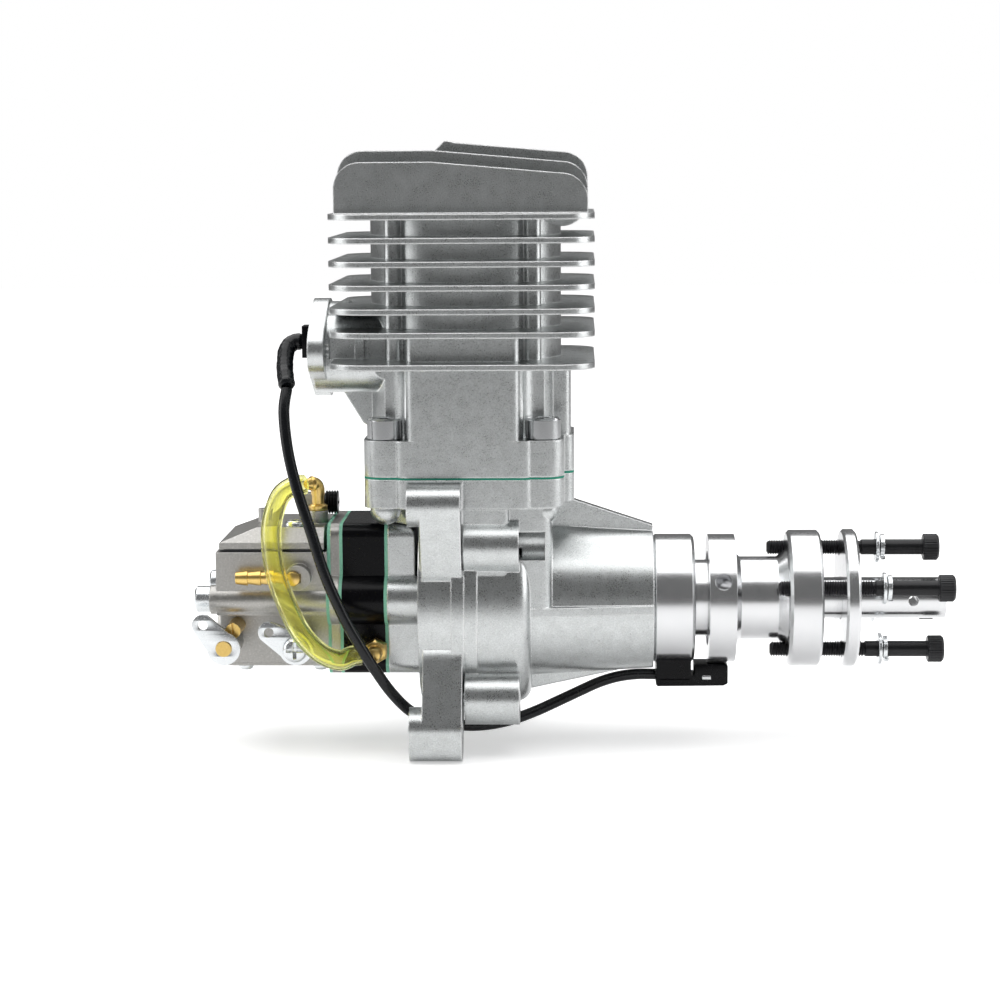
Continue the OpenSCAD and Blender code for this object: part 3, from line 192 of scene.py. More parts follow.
def band_faces(rows: int, sides: int, closed: bool = False) -> list[list[int]]:
    """Joins rows of points by four-sided faces.

    Args:
        rows: number of rows.
        sides: points in a row.
        closed: whether the last row joins the first.

    Returns:
        The faces.
    """
    faces = []
    for i in range(rows if closed else rows - 1):
        n = (i + 1) % rows
        for j in range(sides):
            k = (j + 1) % sides
            faces.append([i * sides + j, i * sides + k, n * sides + k, n * sides + j])
    return faces


def end_faces(rows: int, sides: int) -> list[list[int]]:
    """Returns the faces that close the first and the last row."""
    top = (rows - 1) * sides
    return [[sides - 1 - j for j in range(sides)], [top + j for j in range(sides)]]


def placed(name: str, data: ID) -> Object:
    """Makes an object of some data and links it."""
    obj = bpy.data.objects.new(name, data)
    bpy.context.scene.collection.objects.link(obj)
    return obj


def plain(obj: Object) -> Object:
    """Replaces an object's modifiers by their result."""
    graph = bpy.context.evaluated_depsgraph_get()
    graph.update()
    done = bpy.data.meshes.new_from_object(obj.evaluated_get(graph))
    obj.modifiers.clear()
    obj.data = done
    return obj


def smooth(obj: Object) -> Object:
    """Shades an object smooth between its sharp edges."""
    obj.data.shade_smooth()
    obj.data.set_sharp_from_angle(angle=SHARP_ANGLE)
    return obj


class Shape:
    """Closed shells gathered into one mesh, in millimetres."""

    def __init__(self) -> None:
        """Starts an empty shape."""
        self.verts: list[Vector] = []
        self.faces: list[list[int]] = []

    def add(self, verts: Sequence[Vector], faces: Sequence[Sequence[int]]) -> "Shape":
        """Adds a shell from its points and faces and returns the shape, as all adders do."""
        base = len(self.verts)
        self.verts += verts
        self.faces += [[base + i for i in f] for f in faces]
        return self

    def turn(self, profile: Sequence[tuple[float, Radius]], origin: Point, axis: Point,
             sides: int = 48, closed: bool = False) -> "Shape":
        """Turns a profile about an axis.

        Args:
            profile: pairs of place along the axis and radius, which may depend on the angle.
            origin: where the axis starts.
            axis: the direction of the axis.
            sides: points round each ring.
            closed: whether the profile is a closed outline, or both of its ends get a face.
        """
        u, v, w = basis(Vector(axis))
        verts = []
        for along, radius in profile:
            verts += ring(Vector(origin) + w * along, u, v, radius, sides)
        faces = band_faces(len(profile), sides, closed)
        if not closed:
            faces += end_faces(len(profile), sides)
        return self.add(verts, faces)

    def pan_head(self, origin: Point, axis: Point, head_r: float, head_h: float) -> "Shape":
        """Adds a pan head with a cross recess.

        Args:
            origin: centre of the seat under the head.
            axis: from the seat to the crown.
            head_r: radius of the head.
            head_h: height of the head.
        """
        slot = recess(head_r * 0.68, head_r * 0.14, 4)
        floor = head_r * 0.16
        return self.turn([
            (0.0, head_r - 0.15), (0.12, head_r), (head_h * 0.5, head_r),
            (head_h * 0.82, head_r * 0.87), (head_h, head_r * 0.7),
            (head_h, lambda a: max(slot(a), floor) + 0.05), (head_h * 0.45, slot),
            (head_h * 0.3, floor)], origin, axis, 96)

    def tube(self, path: Sequence[Vector], radius: float | Sequence[float], sides: int = 16,
             bore: float = 0) -> "Shape":
        """Sweeps a round tube along a path.

        Args:
            path: centreline points.
            radius: outer radius, the same or one for each point.
            sides: points round each ring.
            bore: radius of the hollow, none if zero.
        """
        rows = len(path)
        radii = list(radius) if isinstance(radius, (list, tuple)) else [radius] * rows
        heads = [(path[min(i + 1, rows - 1)] - path[max(i - 1, 0)]).normalized()
                 for i in range(rows)]
        side = basis(heads[0])[0]
        outer, inner = [], []
        for p, w, r in zip(path, heads, radii):
            side = (side - w * side.dot(w)).normalized()
            outer += ring(p, side, w.cross(side), r, sides)
            inner += ring(p, side, w.cross(side), bore, sides)
        faces = band_faces(rows, sides)
        if not bore:
            return self.add(outer, faces + end_faces(rows, sides))
        skip = rows * sides
        end = skip - sides
        walls = [[skip + i for i in reversed(f)] for f in faces]
        for j in range(sides):
            k = (j + 1) % sides
            walls.append([j, skip + j, skip + k, k])
            walls.append([end + k, skip + end + k, skip + end + j, end + j])
        return self.add(outer + inner, faces + walls)

    def plate(self, outline: Sequence[Flat], low: float, high: float,
              place: Callable[[float, float, float], Point],
              holes: Sequence[Sequence[Flat]] = ()) -> "Shape":
        """Thickens a flat outline with holes.

        Args:
            outline: the outer corners.
            low: first face of the thickness.
            high: second face of the thickness.
            place: turns two flat numbers and a height into a point.
            holes: the corners of each hole.
        """
        loops = [list(outline)] + [list(h) for h in holes]
        flat = [p for loop in loops for p in loop]
        count = len(flat)
        verts = [Vector(place(x, y, level)) for level in (low, high) for x, y in flat]
        faces = []
        for tri in tessellate_polygon([[Vector((x, y, 0)) for x, y in loop] for loop in loops]):
            faces.append(list(tri))
            faces.append([count + i for i in reversed(tri)])
        start = 0
        for loop in loops:
            for i in range(len(loop)):
                a = start + i
                b = start + (i + 1) % len(loop)
                faces.append([a, b, count + b, count + a])
            start += len(loop)
        return self.add(verts, faces)

    def block(self, low: Point, high: Point) -> "Shape":
        """Adds a block between two corners, to be rounded by a bevel."""
        return self.plate(rectangle(*low[:2], *high[:2]), low[2], high[2],
                          lambda x, y, z: (x, y, z))

    def absorb(self, mesh: Mesh, move: Matrix) -> "Shape":
        """Adds a mesh made in metres, moved by a matrix in millimetres."""
        return self.add([move @ (v.co / MM) for v in mesh.vertices],
                        [list(p.vertices) for p in mesh.polygons])

    def build(self, name: str, bevel: float = 0, segments: int = 2) -> Object:
        """Makes the mesh object.

        Args:
            name: the piece's name.
            bevel: width of the rounded edges in millimetres, none if zero.
            segments: steps across each rounded edge.

        Returns:
            The linked object, at the origin.
        """
        mesh = bpy.data.meshes.new(name)
        mesh.from_pydata([v * MM for v in self.verts], [], self.faces)
        work = bmesh.new()
        work.from_mesh(mesh)
        bmesh.ops.recalc_face_normals(work, faces=work.faces)
        work.to_mesh(mesh)
        work.free()
        obj = placed(name, mesh)
        if bevel:
            rounding = obj.modifiers.new("edge", "BEVEL")
            rounding.width = bevel * MM
            rounding.segments = segments
            rounding.limit_method = "ANGLE"
            rounding.angle_limit = SHARP_ANGLE
            obj = plain(obj)
        return smooth(obj)


class Wires:
    """Adds and joins the nodes of one tree."""

    def __init__(self, tree: NodeTree) -> None:
        """Keeps the tree."""
        self.tree = tree

    def feed(self, node: Node, feeds: Feeds) -> None:
        """Links sockets to a node's inputs, or sets the inputs to values."""
        for key, value in feeds.items():
            if isinstance(value, NodeSocket):
                self.tree.links.new(value, node.inputs[key])
            else:
                node.inputs[key].default_value = value

    def add(self, kind: str, feeds: Feeds | None = None, **settings: object) -> Node:
        """Adds a node, sets its options and feeds its inputs."""
        node = self.tree.nodes.new(kind)
        for key, value in settings.items():
            setattr(node, key, value)
        self.feed(node, feeds or {})
        return node

    def maths(self, operation: str, a: object, b: object = None, clamp: bool = False) -> NodeSocket:
        """Adds a Math node.

        Args:
            operation: its operation.
            a: a socket or number.
            b: a socket or number, if it takes two.
            clamp: whether the result stays between 0 and 1.

        Returns:
            The output socket.
        """
        feeds = {0: a} if b is None else {0: a, 1: b}
        return self.add("ShaderNodeMath", feeds, operation=operation,
                        use_clamp=clamp).outputs[0]

    def spread(self, value: NodeSocket, low: float, high: float,
               new_low: float = 0.0, new_high: float = 1.0) -> NodeSocket:
        """Adds a Map Range node.

        Args:
            value: the socket to map.
            low: its low end.
            high: its high end.
            new_low: result at the low end.
            new_high: result at the high end.

        Returns:
            The mapped socket.
        """
        return self.add("ShaderNodeMapRange", {
            "Value": value, "From Min": low, "From Max": high, "To Min": new_low,
            "To Max": new_high}).outputs[0]

    def blend(self, first: object, second: object, factor: NodeSocket) -> NodeSocket:
        """Mixes two colours and returns the result."""
        return self.add("ShaderNodeMix", {"A": first, "B": second, "Factor": factor},
                        data_type="RGBA").outputs["Result"]


class Relief(Enum):
    """Fine relief of a surface."""

    CAST = "cast"
    TURNED = "turned"


class Effects:
    """Shader node groups that several finishes share."""

    def __init__(self) -> None:
        """Builds the groups."""
        self.grain = self._grain()
        self.edges = self._edges()
        self.lathe = self._lathe()

    @staticmethod
    def _group(name: str, inputs: Sequence[tuple[str, str]],
               outputs: Sequence[tuple[str, str]]) -> tuple[Wires, Node, Node]:
        """Starts a node group.

        Args:
            name: the group's name.
            inputs: name and kind of each input.
            outputs: name and kind of each output.

        Returns:
            The wires, the input node and the output node.
        """
        tree = bpy.data.node_groups.new(name, "ShaderNodeTree")
        for way, sockets in (("INPUT", inputs), ("OUTPUT", outputs)):
            for label, kind in sockets:
                tree.interface.new_socket(label, in_out=way, socket_type="NodeSocket" + kind)
        wires = Wires(tree)
        return wires, wires.add("NodeGroupInput"), wires.add("NodeGroupOutput")

    def _grain(self) -> NodeTree:
        """Builds the blasted or cast grain: a height, a slow mottling and bright specks."""
        coarse_scale, speck_scale = 260.0, 1900.0
        wires, start, end = self._group(
            "surface_grain", [("Vector", "Vector"), ("Scale", "Float")],
            [("Height", "Float"), ("Mottle", "Float"), ("Specks", "Float")])
        place = start.outputs["Vector"]
        fine, coarse, specks = (
            wires.add("ShaderNodeTexNoise", {"Vector": place, "Scale": scale, "Detail": detail})
            for scale, detail in ((start.outputs["Scale"], 3.0), (coarse_scale, 4.0),
                                  (speck_scale, 2.0)))
        share = wires.maths("MULTIPLY", fine.outputs[0], 0.7)
        rest = wires.maths("MULTIPLY", coarse.outputs[0], 0.3)
        wires.feed(end, {"Height": fine.outputs[0], "Mottle": wires.maths("ADD", share, rest),
                         "Specks": wires.spread(specks.outputs[0], 0.6, 0.68)})
        return wires.tree

    def _edges(self) -> NodeTree:
        """Builds the lighter edges, partly wear and partly a painted highlight: a mask and a
        rounded normal.
        """
        wires, start, end = self._group(
            "edge_wear_and_painted_highlight", [("Radius", "Float"), ("Gain", "Float")],
            [("Mask", "Float"), ("Normal", "Vector")])
        soft = wires.add("ShaderNodeBevel", {"Radius": start.outputs["Radius"]}, samples=4)
        real = wires.add("ShaderNodeNewGeometry").outputs["True Normal"]
        dot = wires.add("ShaderNodeVectorMath", {0: soft.outputs[0], 1: real},
                        operation="DOT_PRODUCT")
        turn = wires.maths("SUBTRACT", 1.0, dot.outputs["Value"])
        mask = wires.maths("MULTIPLY", turn, start.outputs["Gain"], clamp=True)
        wires.feed(end, {"Mask": mask, "Normal": soft.outputs[0]})
        return wires.tree

    def _lathe(self) -> NodeTree:
        """Builds lathe marks about the crank axis: a height."""
        wires, start, end = self._group(
            "lathe_marks", [("Vector", "Vector"), ("Scale", "Float")], [("Height", "Float")])
        split = wires.add("ShaderNodeSeparateXYZ", {0: start.outputs["Vector"]}).outputs
        y2 = wires.maths("MULTIPLY", split["Y"], split["Y"])
        z2 = wires.maths("MULTIPLY", split["Z"], split["Z"])
        radial = wires.maths("SQRT", wires.maths("ADD", y2, z2))
        along = wires.maths("ADD", split["X"], radial)
        feeds = {"Detail": 2.0, "W": along, "Scale": start.outputs["Scale"]}
        noise = wires.add("ShaderNodeTexNoise", feeds, noise_dimensions="1D")
        wires.feed(end, {"Height": noise.outputs[0]})
        return wires.tree


@dataclass(frozen=True)
class Finish:
    """One surface finish and its material."""

    name: str
    colour: Point
    dark: Point
    roughness: Flat
    depth_mm: float = 0.006
    grain_scale: float = 3000.0
    # edge_mm, edge_gain and edge_colour lighten every edge: partly wear, partly a painted
    # highlight.
    edge_mm: float = 0.2
    edge_gain: float = 6.0
    edge_colour: Point = (0.93, 0.94, 0.95)
    specks: float = 0.0
    metallic: float = 1.0
    ior: float = 1.45
    relief: Relief = Relief.CAST

    def material(self, effects: Effects) -> Material:
        """Builds the material.

        Args:
            effects: the shared node groups.

        Returns:
            The material.
        """
        made = bpy.data.materials.new(self.name)
        made.use_nodes = True
        wires = Wires(made.node_tree)
        shader = made.node_tree.nodes["Principled BSDF"]
        place = wires.add("ShaderNodeTexCoord").outputs["Object"]
        grain = wires.add("ShaderNodeGroup", node_tree=effects.grain)
        wires.feed(grain, {"Scale": self.grain_scale, "Vector": place})
        rough = wires.spread(grain.outputs["Mottle"], 0.3, 0.7, *self.roughness)
        wires.feed(shader, {"Metallic": self.metallic, "IOR": self.ior, "Roughness": rough})
        self._surface(wires, shader, effects, place, grain.outputs)
        return made

    def _surface(self, wires: Wires, shader: Node, effects: Effects,
                 place: NodeSocket, grain: NodeOutputs) -> None:
        """Colours the surface, lightens its edges as part wear and part painted highlight, and
        gives it a relief.

        Args:
            wires: the material's tree.
            shader: its shader.
            effects: the shared node groups.
            place: the object coordinates.
            grain: outputs of the grain.
        """
        # Edge mask: lightens edges towards edge_colour, partly wear and partly a painted highlight.
        edge_wear_and_highlight = wires.add("ShaderNodeGroup", node_tree=effects.edges)
        wires.feed(edge_wear_and_highlight, {"Radius": self.edge_mm * MM, "Gain": self.edge_gain})
        share = wires.spread(grain["Mottle"], 0.35, 0.65)
        tone = wires.blend((*self.dark, 1), (*self.colour, 1), share)
        bright = wires.maths("MULTIPLY", grain["Specks"], self.specks)
        # Bright specks of the grain, plus the lightened edges, which are partly wear and partly
        # painted highlight.
        worn = wires.maths("MAXIMUM", edge_wear_and_highlight.outputs["Mask"], bright)
        height = grain["Height"]
        if self.relief is Relief.TURNED:
            marks = wires.add("ShaderNodeGroup", node_tree=effects.lathe)
            wires.feed(marks, {"Scale": self.grain_scale, "Vector": place})
            height = marks.outputs["Height"]
        bump = wires.add("ShaderNodeBump", {
            "Strength": 1.0, "Distance": self.depth_mm * MM, "Height": height,
            "Normal": edge_wear_and_highlight.outputs["Normal"]})
        wires.feed(shader, {"Base Color": wires.blend(tone, (*self.edge_colour, 1), worn),
                            "Normal": bump.outputs[0]})


@dataclass(frozen=True)
class ClearFinish(Finish):
    """Clear soft plastic with a tint."""

    clear: float = 0.94

    def _surface(self, wires: Wires, shader: Node, effects: Effects,
                 place: NodeSocket, grain: NodeOutputs) -> None:
        """Tints the plastic and lets light through, with the arguments of a Finish."""
        tone = wires.blend((*self.dark, 1), (*self.colour, 1), grain["Mottle"])
        wires.feed(shader, {"Base Color": tone, "Transmission Weight": self.clear})


FINISHES: tuple[Finish, ...] = (
    Finish("cast_aluminium", (0.69, 0.71, 0.71), (0.50, 0.515, 0.515), (0.25, 0.34), 0.036,
           2600.0, edge_mm=0.7, edge_gain=8.0, edge_colour=(0.96, 0.97, 0.97), specks=0.1),
    Finish("machined_aluminium", (0.80, 0.80, 0.81), (0.74, 0.75, 0.76), (0.16, 0.26), 0.004,
           5200.0, edge_mm=0.3, relief=Relief.TURNED),
    Finish("carburettor_zinc", (0.50, 0.49, 0.47), (0.40, 0.39, 0.37), (0.34, 0.46), 0.04,
           1500.0, edge_mm=0.5, edge_gain=4.0, edge_colour=(0.8, 0.79, 0.77), specks=0.3),
    Finish("zinc_plate", (0.84, 0.86, 0.87), (0.72, 0.75, 0.77), (0.2, 0.3), 0.006, 2500.0),
    Finish("steel", (0.66, 0.67, 0.68), (0.58, 0.59, 0.6), (0.14, 0.22), edge_mm=0.25),
    Finish("black_oxide", (0.022, 0.022, 0.024), (0.012, 0.012, 0.013), (0.26, 0.36), 0.008,
           edge_gain=2.0, edge_colour=(0.09, 0.09, 0.1), metallic=0.4),
    Finish("black_plastic", (0.004, 0.004, 0.005), (0.002, 0.002, 0.003), (0.18, 0.26), 0.003,
           1800.0, edge_mm=0.3, edge_gain=1.0, edge_colour=(0.02, 0.02, 0.022), metallic=0.0,
           ior=1.24),
    Finish("black_rubber", (0.006, 0.007, 0.009), (0.003, 0.004, 0.005), (0.2, 0.3), 0.004,
           1500.0, edge_gain=1.0, edge_colour=(0.02, 0.02, 0.022), metallic=0.0, ior=1.42),
    Finish("green_gasket", (0.03, 0.30, 0.20), (0.02, 0.24, 0.16), (0.6, 0.75), 0.03, 2200.0,
           edge_mm=0.1, edge_gain=1.0, edge_colour=(0.1, 0.4, 0.3), metallic=0.0),
    Finish("mint_gasket", (0.32, 0.70, 0.52), (0.24, 0.6, 0.43), (0.6, 0.75), 0.03, 2200.0,
           edge_mm=0.1, edge_gain=1.0, edge_colour=(0.45, 0.8, 0.64), metallic=0.0),
    Finish("brass", (0.87, 0.62, 0.22), (0.74, 0.5, 0.15), (0.26, 0.36), 0.006, 2500.0,
           edge_mm=0.15, edge_colour=(0.95, 0.78, 0.42)),
    Finish("petal_composite", (0.05, 0.05, 0.048), (0.03, 0.03, 0.028), (0.35, 0.45), 0.02,
           900.0, edge_mm=0.1, edge_gain=1.0, edge_colour=(0.1, 0.1, 0.1), metallic=0.0),
    ClearFinish("clear_yellow_hose", (1.0, 0.99, 0.48), (0.99, 0.97, 0.38), (0.02, 0.06),
                metallic=0.0, ior=1.34),
)

WEARERS: dict[str, tuple[str, ...]] = {
    "cast_aluminium": ("crankcase_front", "crankcase_rear", "cylinder"),
    "machined_aluminium": ("piston", "sensor_collar", "prop_hub", "trigger_ring", "prop_plate",
                           "centre_stud", "reed_cage"),
    "carburettor_zinc": ("carb_plate", "carb_body", "pump_cover", "metering_cover"),
    "zinc_plate": ("throttle_lever", "choke_lever", "throttle_screw", "cover_screws",
                   "carb_bolts", "flat_washers", "spring_washers", "reed_stops"),
    "steel": ("trigger_magnet", "bearing_balls", "case_bolts", "cylinder_bolts",
              "main_bearing_outer", "main_bearing_inner", "wrist_pin", "crankshaft",
              "crank_pin", "conrod", "rod_bearings", "throttle_shaft", "piston_rings",
              "hub_key", "idle_spring", "sensor_screw"),
    "black_oxide": ("prop_bolts",),
    "black_plastic": ("idle_screw", "reed_block", "sensor_holder", "sensor_body",
                      "cable_plug"),
    "black_rubber": ("sensor_cable", "cable_sleeve", "shaft_seal", "pump_gasket"),
    "green_gasket": ("base_gasket",),
    "mint_gasket": ("intake_gaskets",),
    "brass": ("fuel_nipple", "pulse_elbow", "pulse_nipple", "mixture_screws", "choke_shaft",
              "throttle_plate", "choke_plate"),
    "clear_yellow_hose": ("pulse_hose",),
    "petal_composite": ("reed_petals",),
}


class Wardrobe:
    """Holds the made materials and dresses nodes and pieces."""

    def __init__(self) -> None:
        """Builds every material."""
        effects = Effects()
        self.made = {finish.name: finish.material(effects) for finish in FINISHES}

    def dress(self, obj: Object, finish: str) -> None:
        """Gives an object one finish."""
        obj.data.materials.clear()
        obj.data.materials.append(self.made[finish])

    def piece(self, obj: Object, finish: str, node: str = "",
              body: str = "engine") -> Object:
        """Finishes a piece and fixes it to its body.

        Args:
            obj: the piece.
            finish: its finish, which is also its slot.
            node: the CAD node that it stands for, if any.
            body: the CAD body that it rides on.

        Returns:
            The piece.
        """
        self.dress(obj, finish)
        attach(obj, body)
        if node:
            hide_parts(node)
        LOG.info("%s on %s", obj.name, body)
        return obj

    def dress_nodes(self) -> None:
        """Dresses every CAD node."""
        worn = {node: finish for finish, nodes in WEARERS.items() for node in nodes}
        for name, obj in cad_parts.items():
            self.dress(obj, worn[name])


@dataclass
class Studio:
    """Camera, lights and floor."""

    eye: Point = (52.9, -788.4, 137.7)
    yaw: float = 1.86
    pitch: float = -7.65
    roll: float = 0.38
    lens: float = 89.63
    lamps: tuple[tuple[str, Point, Point, float, float], ...] = (
        ("top", (0, 60, 700), (0, 0, 30), 1200, 9.0),
        ("left", (-800, -100, 320), (0, 0, 40), 600, 2.2),
        ("right", (900, 0, 300), (60, 0, 40), 600, 2.6))
    room: float = 0.16
    floor_z: float = -45.2
    floor_size: float = 6000.0
    near_glow: float = 0.42
    near_reach: Flat = (0.12, 0.6)
    floor_glow: float = 0.15
    floor_reach: Flat = (0.15, 0.5)

    def build(self) -> None:
        """Makes the camera, the lights and the floor."""
        data = bpy.data.cameras.new("camera")
        camera = placed("camera", data)
        data.lens = self.lens
        data.clip_start = 0.01
        camera.location = Vector(self.eye) * MM
        turns = ((self.yaw, "Z"), (self.pitch, "X"), (self.roll, "Y"), (90.0, "X"))
        aim = Matrix.Identity(3)
        for degrees, axis in turns:
            aim = aim @ Matrix.Rotation(math.radians(degrees), 3, axis)
        camera.rotation_mode = "QUATERNION"
        camera.rotation_quaternion = aim.to_quaternion()
        bpy.context.scene.camera = camera
        for lamp in self.lamps:
            self._lamp(*lamp)
        self._world()
        self._floor()

    def _lamp(self, name: str, place: Point, aim: Point, size: float, power: float) -> None:
        """Adds a square soft light.

        Args:
            name: the light's name.
            place: where it hangs.
            aim: where it points.
            size: its side.
            power: its power in watts.
        """
        data = bpy.data.lights.new(name, "AREA")
        data.size = size * MM
        data.energy = power
        lamp = placed(name, data)
        lamp.location = Vector(place) * MM
        lamp.rotation_mode = "QUATERNION"
        lamp.rotation_quaternion = (Vector(aim) - Vector(place)).to_track_quat("-Z", "Y")
        lamp.visible_camera = False

    def _world(self) -> None:
        """Makes the surroundings white to the camera and darker in reflections."""
        world = bpy.data.worlds.new("studio")
        world.use_nodes = True
        bpy.context.scene.world = world
        wires = Wires(world.node_tree)
        ray = wires.add("ShaderNodeLightPath")
        seen = wires.maths("MAXIMUM", ray.outputs["Is Camera Ray"],
                           ray.outputs["Is Transmission Ray"])
        wires.feed(world.node_tree.nodes["Background"], {
            "Color": (1, 1, 1, 1), "Strength": wires.spread(seen, 0, 1, self.room, 1.0)})
        bpy.context.scene.view_settings.view_transform = "Standard"

    def _floor(self) -> None:
        """Lays the pale floor, which fades into the white surroundings."""
        half = self.floor_size / 2
        corners = [Vector((x, y, self.floor_z)) for x, y in rectangle(-half, -half, half, half)]
        floor = Shape().add(corners, [[0, 1, 2, 3]]).build("floor")
        paint = bpy.data.materials.new("floor_paper")
        paint.use_nodes = True
        wires = Wires(paint.node_tree)
        camera_ray = wires.add("ShaderNodeLightPath").outputs["Is Camera Ray"]
        place = wires.add("ShaderNodeTexCoord").outputs["Object"]
        reach = wires.add("ShaderNodeVectorMath", {0: place}, operation="LENGTH")
        seen = wires.spread(reach.outputs["Value"], *self.near_reach, self.near_glow, 1.0)
        thrown = wires.spread(reach.outputs["Value"], *self.floor_reach, self.floor_glow, 0.0)
        share = wires.maths("MULTIPLY", seen, camera_ray)
        rest = wires.maths("MULTIPLY", thrown, wires.maths("SUBTRACT", 1.0, camera_ray))
        wires.feed(paint.node_tree.nodes["Principled BSDF"], {
            "Base Color": (0.95, 0.95, 0.95, 1), "Roughness": 0.9,
            "Emission Color": (1, 1, 1, 1), "Emission Strength": wires.maths("ADD", share, rest)})
        floor.data.materials.append(paint)


class GeometryTree:
    """A geometry node tree with named inputs, ended by Realize Instances and Set Material."""

    def __init__(self, name: str, inputs: Sequence[tuple[str, str]]) -> None:
        """Starts the tree with its inputs after the geometry."""
        self.tree = bpy.data.node_groups.new(name, "GeometryNodeTree")
        for label, kind in (("Geometry", "Geometry"), *inputs, ("Material", "Material")):
            self.tree.interface.new_socket(label, in_out="INPUT",
                                           socket_type="NodeSocket" + kind)
        self.tree.interface.new_socket("Geometry", in_out="OUTPUT",
                                       socket_type="NodeSocketGeometry")
        self.wires = Wires(self.tree)
        self.start = self.wires.add("NodeGroupInput").outputs

    def close(self, geometry: NodeSocket) -> None:
        """Ends the tree."""
        real = self.wires.add("GeometryNodeRealizeInstances", {0: geometry})
        paint = self.wires.add("GeometryNodeSetMaterial", {
            "Geometry": real.outputs[0], "Material": self.start["Material"]})
        self.wires.add("NodeGroupOutput", {0: paint.outputs[0]})

    def run(self, base: Object, values: dict[str, object]) -> Object:
        """Runs the tree on an object.

        Args:
            base: the object that the tree starts from.
            values: the inputs by name.

        Returns:
            The object with the result as its plain mesh.
        """
        maker = base.modifiers.new("maker", "NODES")
        maker.node_group = self.tree
        for item in self.tree.interface.items_tree:
            if item.item_type == "SOCKET" and item.in_out == "INPUT" and item.name in values:
                maker[item.identifier] = values[item.name]
        return smooth(plain(base))


def points_object(name: str, points: Sequence[Point]) -> Object:
    """Makes an object of loose points, in millimetres."""
    mesh = bpy.data.meshes.new(name)
    mesh.from_pydata(metres(points), [], [])
    return placed(name, mesh)


class CoilTree(GeometryTree):
    """Helix of a chosen wire section: springs, threads and split washers."""

    def __init__(self) -> None:
        """Builds the tree."""
        super().__init__("coil", [
            ("Radius", "Float"), ("Wire Radius", "Float"), ("Turns", "Float"),
            ("Height", "Float"), ("Wire Sides", "Int"), ("Wire Turn", "Float"),
            ("Steps", "Int")])
        w = self.wires
        s = self.start
        helix = w.add("GeometryNodeCurveSpiral", {
            "Resolution": s["Steps"], "Rotations": s["Turns"], "Start Radius": s["Radius"],
            "End Radius": s["Radius"], "Height": s["Height"]})
        up = w.add("GeometryNodeSetCurveNormal", {0: helix.outputs[0]}, mode="Z_UP")
        section = w.add("GeometryNodeCurvePrimitiveCircle", {
            "Resolution": s["Wire Sides"], "Radius": s["Wire Radius"]})
        angle = w.add("ShaderNodeCombineXYZ", {"Z": s["Wire Turn"]})
        turned = w.add("GeometryNodeTransform", {0: section.outputs[0],
                                                 "Rotation": angle.outputs[0]})
        sweep = w.add("GeometryNodeCurveToMesh", {
            0: up.outputs[0], "Profile Curve": turned.outputs[0], "Fill Caps": True})
        self.close(sweep.outputs[0])

    def coil(self, radius: float, wire: float, turns: float, height: float, sides: int = 12,
             turn: float = 0.0, steps: int = 24) -> Mesh:
        """Makes a coil about +Z, starting at the origin.

        Args:
            radius: of the helix, in millimetres.
            wire: radius of the wire's section.
            turns: number of turns.
            height: of the whole helix.
            sides: corners of the section.
            turn: angle of the section in radians.
            steps: points in one turn.

        Returns:
            The mesh, in metres.
        """
        done = self.run(points_object("coil_base", [(0, 0, 0)]), {
            "Radius": radius * MM, "Wire Radius": wire * MM, "Turns": float(turns),
            "Height": height * MM, "Wire Sides": sides, "Wire Turn": float(turn),
            "Steps": steps})
        mesh = done.data
        bpy.data.objects.remove(done)
        return mesh


class RepeatTree(GeometryTree):
    """Puts one piece on every point, each turned at random about an axis."""

    def __init__(self) -> None:
        """Builds the tree."""
        super().__init__("repeat", [("Piece", "Object"), ("Axis", "Vector"),
                                    ("Most Turn", "Float"), ("Seed", "Int")])
        w = self.wires
        s = self.start
        piece = w.add("GeometryNodeObjectInfo", {"Object": s["Piece"]})
        chance = w.add("FunctionNodeRandomValue", {3: s["Most Turn"], "Seed": s["Seed"]},
                       data_type="FLOAT")
        turn = w.add("FunctionNodeAxisAngleToRotation", {"Axis": s["Axis"],
                                                         "Angle": chance.outputs[1]})
        place = w.add("GeometryNodeInstanceOnPoints", {
            "Points": s["Geometry"], "Instance": piece.outputs["Geometry"],
            "Rotation": turn.outputs[0]})
        self.close(place.outputs[0])

    def spread(self, name: str, piece: Object, points: Sequence[Point],
               axis: Point, most: float = TAU, seed: int = 3) -> Object:
        """Repeats a piece.

        Args:
            name: name of the result.
            piece: the piece, made about the origin and used up.
            points: places in millimetres.
            axis: axis of the random turn.
            most: largest turn in radians.
            seed: number that fixes the turns.

        Returns:
            One object with all copies.
        """
        done = self.run(points_object(name, points), {
            "Piece": piece, "Axis": axis, "Most Turn": float(most), "Seed": seed})
        bpy.data.objects.remove(piece)
        return done


